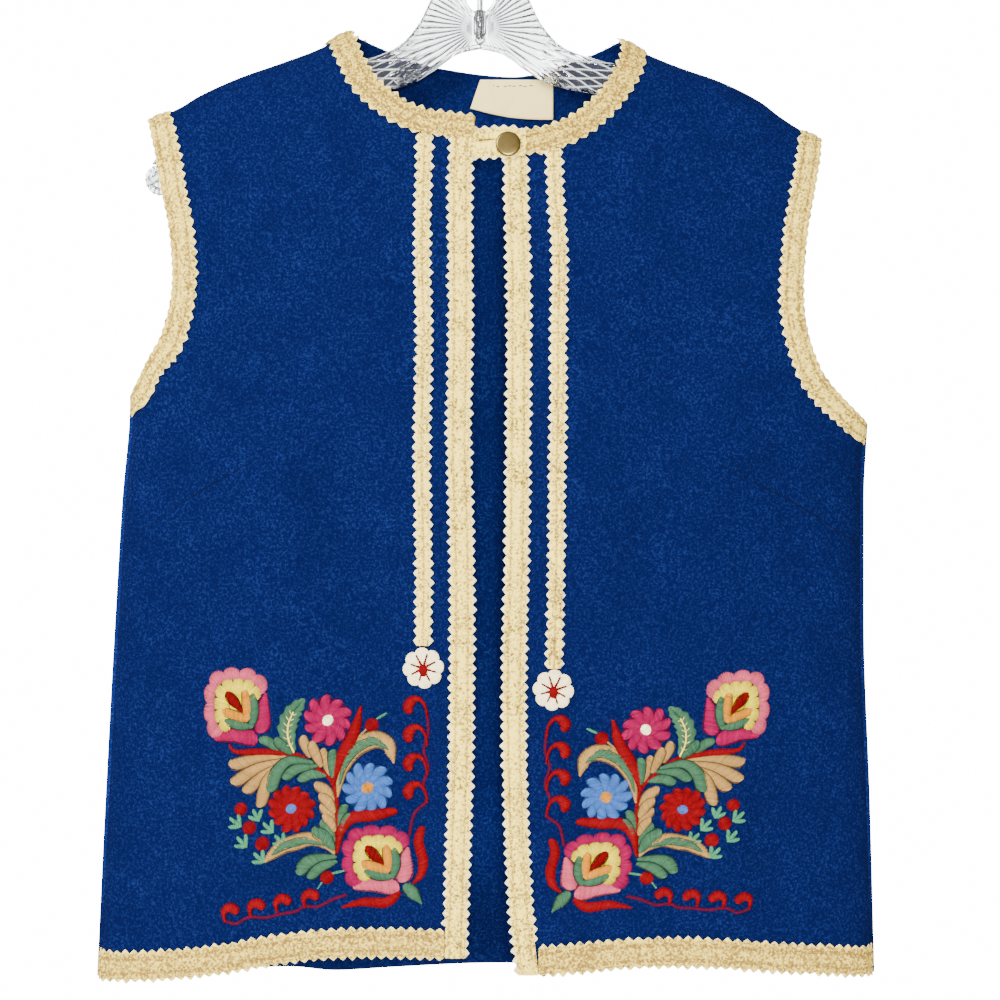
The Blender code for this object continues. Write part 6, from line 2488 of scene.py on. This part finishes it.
@dataclass
class VestHalf(VestPart):
    """One front with everything that is sewn on it."""

    side: str
    turn: int
    neck: Sequence[Mark]
    opening: Sequence[Mark]
    armhole: Sequence[Mark]
    hem: Sequence[Mark]
    narrow: Sequence[Mark]
    flower: Mark
    centre_start: float
    motif_corner: Mark
    motif_across: tuple[float, float]
    motif_down: tuple[float, float]
    centre_width: float = 12.8
    narrow_width: float = 7.6
    gap: float = 0.3
    tab_reach: float = 26.0
    seed: int = 1

    def bands(self) -> list[FeltBand]:
        """List the front's felt strips, each on its own edge."""
        face, turn = Face.FRONT, self.turn
        out = (-turn, 0.0, 0.0)
        slope = (-turn, 0.0, -SHOULDER_SLOPE)
        back_slope = tuple(-v for v in slope)
        neck, arm = Edge(face, self.neck), Edge(face, self.armhole)
        hem, opening = Edge(face, self.hem), Edge(face, self.opening)
        inner_x = self.opening[-1].x - turn * (self.centre_width + self.gap)
        if turn > 0:
            top_x = self.opening[0].x - (self.centre_width + self.gap)
            neck_bare = (neck.to_x(top_x), neck.length)
            lean = (self.opening[1].x - self.opening[0].x, 0.0,
                    self.opening[1].z - self.opening[0].z)
            tab_bare = (0.0, self.tab_reach)
        else:
            neck_bare, lean, tab_bare = (0.0, 0.0), DOWN, (0.0, 0.0)
        bare_low = (opening.length - self.hem_width - 2 * self.tooth, opening.length)
        side = self.side
        return [
            FeltBand(side + "_neck_band", face, neck, self.neck_width, -turn,
                     start_across=slope, end_across=lean, bare=(neck_bare,), body_darkening=1.15,
                     channels=(3.4, self.neck_width - 3.4)),
            FeltBand(side + "_armhole_band_front", face, arm, self.armhole_width, turn,
                     start_across=back_slope, end_across=DOWN, calm=45.0, open_teeth=0.4,
                     nip=0.24 if side == "right" else 0.08, body_darkening=0.6,
                     channels=(3.2, self.armhole_width - 3.2)),
            FeltBand(side + "_hem_band", face, hem, self.hem_width, turn,
                     end=hem.to_x(inner_x), start_across=UP, end_across=UP, body_darkening=1.15,
                     channels=(3.4, self.hem_width - 3.4)),
            FeltBand(side + "_centre_band", face, opening, self.centre_width, -turn,
                     start=self.centre_start, start_across=out, end_across=out, tuck=3.0,
                     bare=(bare_low,), bare_outer=(tab_bare,),
                     channels=(2.6, self.centre_width - 2.6)),
            FeltBand(side + "_narrow_band", face, Edge(face, self.narrow), self.narrow_width,
                     -turn, start_across=out, end_across=out, tuck=3.0,
                     channels=(self.narrow_width / 2,)),
        ]

    def build(self, finishes: dict[str, Material]) -> list[Piece]:
        """Make the front and its pieces.

        Args:
            finishes: the materials by name.

        Returns:
            The panel first, then what is sewn on it.
        """
        panel = FrontPanel(self.side + "_front", Face.FRONT, neck=self.neck,
                           opening=self.opening, armhole=self.armhole,
                           hem=self.hem).build(finishes["wool"])
        pieces = [panel]
        pieces += self.sew_bands(self.side + "_front_sewing", self.seed * 100, finishes)
        flower = FeltFlower(self.side + "_flower", self.flower, turn=0.1 * self.turn)
        pieces.append(flower.build(finishes["white"]))
        pieces.append(FlowerRays(self.side + "_flower_star", flower).build(finishes["thread"]))
        dart = DART_RIGHT if self.turn > 0 else DART_LEFT
        pieces.append(DartShadowLine(self.side + "_dart_seam", dart).build(finishes["thread"]))
        pieces.append(EmbroideredMotif(self.side + "_embroidery", self.motif_corner,
                                       self.motif_across, self.motif_down,
                                       self.seed).build(finishes["thread"]))
        return pieces


@dataclass
class VestBack(VestPart):
    """The back with its bands outside."""

    def bands(self) -> list[FeltBand]:
        """List the back's felt strips."""
        face = Face.BACK
        right_slope, left_slope = (-1.0, 0.0, -SHOULDER_SLOPE), (1.0, 0.0, -SHOULDER_SLOPE)
        bands = []
        for side, marks, turn in (("right", RIGHT_ARMHOLE, -1), ("left", LEFT_ARMHOLE, 1)):
            inward = tuple(-v for v in (right_slope if side == "right" else left_slope))
            bands.append(FeltBand(side + "_armhole_band_back", face, Edge(face, marks),
                                  self.armhole_width, turn, start_across=inward,
                                  end_across=DOWN, open_teeth=0.4, body_darkening=0.6, steps=4,
                                  channels=(3.2, self.armhole_width - 3.2)))
        bands.append(FeltBand("back_neck_band", face, Edge(face, BACK_NECK), self.neck_width,
                              1, inset=self.tooth, start_across=right_slope,
                              end_across=left_slope, body_darkening=1.15, steps=4,
                              channels=(3.4, self.neck_width - 3.4)))
        bands.append(FeltBand("back_hem_band", face, Edge(face, BACK_HEM), self.hem_width,
                              -1, inset=self.tooth, start_across=UP, end_across=UP,
                              body_darkening=1.15, steps=4,
                              channels=(3.4, self.hem_width - 3.4)))
        return bands

    def build(self, finishes: dict[str, Material]) -> list[Piece]:
        """Make the back and its pieces; the panel comes first."""
        return [BackPanel("back_panel", Face.BACK).build(finishes["wool"]),
                *self.sew_bands("back_sewing", 900, finishes)]


# ---------------------------------------------------------------------- studio
class Lamp(NamedTuple):
    """A square soft box, in metres and watts."""

    name: str
    place: tuple[float, float, float]
    size: float
    watts: float


@dataclass
class Studio:
    """A pale floor, soft light and a level camera, in metres."""

    lens_mm: float = 85.0
    sensor_mm: float = 36.0
    distance: float = 1.535
    centre_x: float = 0.013
    centre_z: float = -0.4245
    floor_z: float = -1.35
    floor_radius: float = 1.0
    floor_corners: int = 96
    floor_colour: str = "#F6F5F2"
    sky_light: float = 1.45
    sky_seen: float = 16.0
    sky_through: float = 6.0
    sky_ring: float = 0.2
    sky_sides: float = 1.2
    sky_front: float = 0.12      # share of that light from the camera's side
    lamps: Sequence[Lamp] = (
        Lamp("key", (-1.3, -2.1, 0.8), 0.9, 144.0), Lamp("front", (0.1, -3.2, -0.36), 0.6, 132.0),
        Lamp("back_key", (0.9, 2.4, 0.9), 1.5, 110.0),
        Lamp("back_fill", (-1.4, 2.0, 0.1), 1.5, 55.0))

    def build(self) -> None:
        """Set up floor, world, lamps and camera."""
        self.add_floor()
        self.add_world()
        for lamp in self.lamps:
            self.add_lamp(lamp)
        camera = add_object("camera", bpy.data.cameras.new("camera"))
        camera.data.lens = self.lens_mm
        camera.data.sensor_width = self.sensor_mm
        camera.location = (self.centre_x, -self.distance, self.centre_z)
        camera.rotation_euler = (math.pi / 2, 0, 0)
        bpy.context.scene.camera = camera

    def add_floor(self) -> None:
        """Lay a round matt floor well below the vest."""
        turn = turns(self.floor_corners)
        points = np.stack([np.cos(turn), np.sin(turn), np.zeros(len(turn))], axis=-1)
        points = points * self.floor_radius / MM + (0, 0, self.floor_z / MM)
        paint = bpy.data.materials.new("matt_floor_paint")
        paint.use_nodes = True
        set_inputs(paint.node_tree, paint.node_tree.nodes["Principled BSDF"],
                   {"Base Color": linear(self.floor_colour), "Roughness": 0.9})
        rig.stage(mesh_object("studio_floor", points, [tuple(range(len(turn)))], paint,
                             smooth=False))

    def add_world(self) -> None:
        """Light from all round, and show a brighter plain white behind the vest."""
        world = bpy.data.worlds.new("studio_white")
        world.use_nodes = True
        bpy.context.scene.world = world
        nodes = Nodes(world.node_tree)
        nodes.tree.nodes.clear()
        path = add_node(nodes.tree, "ShaderNodeLightPath")
        shown = None
        for strength, seen_by in ((self.sky_light, None),
                                  (self.through(nodes), "Is Transmission Ray"),
                                  (self.sky_seen, "Is Camera Ray")):
            white = nodes.out("ShaderNodeBackground",
                              {"Color": (1.0, 1.0, 1.0, 1.0), "Strength": strength})
            if seen_by:
                white = nodes.out("ShaderNodeMixShader",
                                  {0: path.outputs[seen_by], 1: shown, 2: white})
            shown = white
        add_node(nodes.tree, "ShaderNodeOutputWorld", None, {"Surface": shown})

    def through(self, nodes: Nodes) -> Socket:
        """Shape what clear plastic bends into view: a white wall, a dim ring, bright sides."""
        towards = nodes.out("ShaderNodeTexCoord", output="Generated")
        flat = nodes.out("ShaderNodeVectorMath", {0: towards, 1: (1.0, 0.0, 1.0)},
                         operation="MULTIPLY")
        off = nodes.out("ShaderNodeVectorMath", {0: flat}, "Value", operation="LENGTH")
        both = nodes.math("ADD", nodes.remap(off, 0.25, 0.42, self.sky_through, self.sky_ring,
                                             "SMOOTHSTEP"),
                          nodes.remap(off, 0.62, 0.8, 0.0, self.sky_sides, "SMOOTHSTEP"))
        depth = nodes.out("ShaderNodeSeparateXYZ", {"Vector": towards}, "Y")
        return nodes.math("MULTIPLY", both, nodes.remap(depth, -0.1, 0.1, self.sky_front, 1.0))

    def add_lamp(self, row: Lamp) -> None:
        """Hang a soft box that looks at the vest."""
        lamp = bpy.data.lights.new(row.name, "AREA")
        lamp.shape = "RECTANGLE"
        lamp.size = lamp.size_y = row.size
        lamp.energy = row.watts
        holder = add_object(row.name, lamp)
        holder.location = row.place
        aim = Vector((self.centre_x, 0, self.centre_z)) - Vector(row.place)
        holder.rotation_euler = aim.to_track_quat("-Z", "Y").to_euler()


def main() -> None:
    """Build the studio, the hanger and the vest, and declare every piece of cloth."""
    logging.basicConfig(level=logging.INFO, format="%(name)s %(message)s")
    Studio().build()
    finishes = {key: finish.build() for key, finish in (
        ("wool", WoolFinish()),
        ("cream", FeltFinish("pressed_wool_felt_cream", "#FFE062", "#6A5224", "#80622A",
                             "#F4E8C0")),
        ("white", FeltFinish("pressed_wool_felt_white", "#FFECB8", "#D8C496", "#D8C496",
                             "#FFF6DC")),
        ("tape", TapeFinish()),
        ("brass", MetalFinish("tarnished_pressed_brass", "#6E5E36", "#4A3D20", 0.2, 7.0)),
        ("steel", MetalFinish("drawn_steel_wire", "#C9CBCD", "#9DA0A4", 0.2, 2.0)),
        ("plastic", ClearPlasticFinish()),
        ("thread", ThreadFinish()))}
    ClearHanger().build(finishes["plastic"])
    WireHook().build(finishes["steel"])
    right = VestHalf("right", 1, RIGHT_NECK, RIGHT_OPENING, RIGHT_ARMHOLE, RIGHT_HEM,
                     RIGHT_NARROW, Mark(-35.7, -531.3), 11.5, Mark(-184.1, -513.5),
                     (1.0, 0.0), (0.0, -1.0), seed=1).build(finishes)
    left = VestHalf("left", -1, LEFT_NECK, LEFT_OPENING, LEFT_ARMHOLE, LEFT_HEM,
                    LEFT_NARROW, Mark(46.9, -545.2), 14.5, Mark(193.3, -513.5),
                    (-1.0, -0.1), (0.0, -0.944), seed=2).build(finishes)
    back = VestBack().build(finishes)
    back += [NeckLabel().build(finishes["tape"]), NeckLabel().sewing(finishes["thread"])]
    tab = ButtonTab().build(finishes["cream"])
    hole = ButtonTab().buttonhole(finishes["thread"])
    BrassButton().build(finishes["brass"])
    for pieces, flat, rests in ((right, (0.27, 0.61), ["hanger_body", back[0]]),
                                (left, (0.27, 0.61), ["hanger_body", back[0]]),
                                (back, (0.52, 0.62), ["hanger_body", right[0], left[0]]),
                                ([tab, hole], (0.035, 0.0225), [left[0]])):
        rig.sheet(pieces[0], flat=flat, held="hung", rests_on=rests, with_pieces=pieces[1:])
    low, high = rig.bounds()
    with open("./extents.json", "w") as out:
        json.dump({"cad": [list(v) for v in CAD_BOX], "visual": [list(low), list(high)]}, out)


if __name__ == "__main__":
    main()
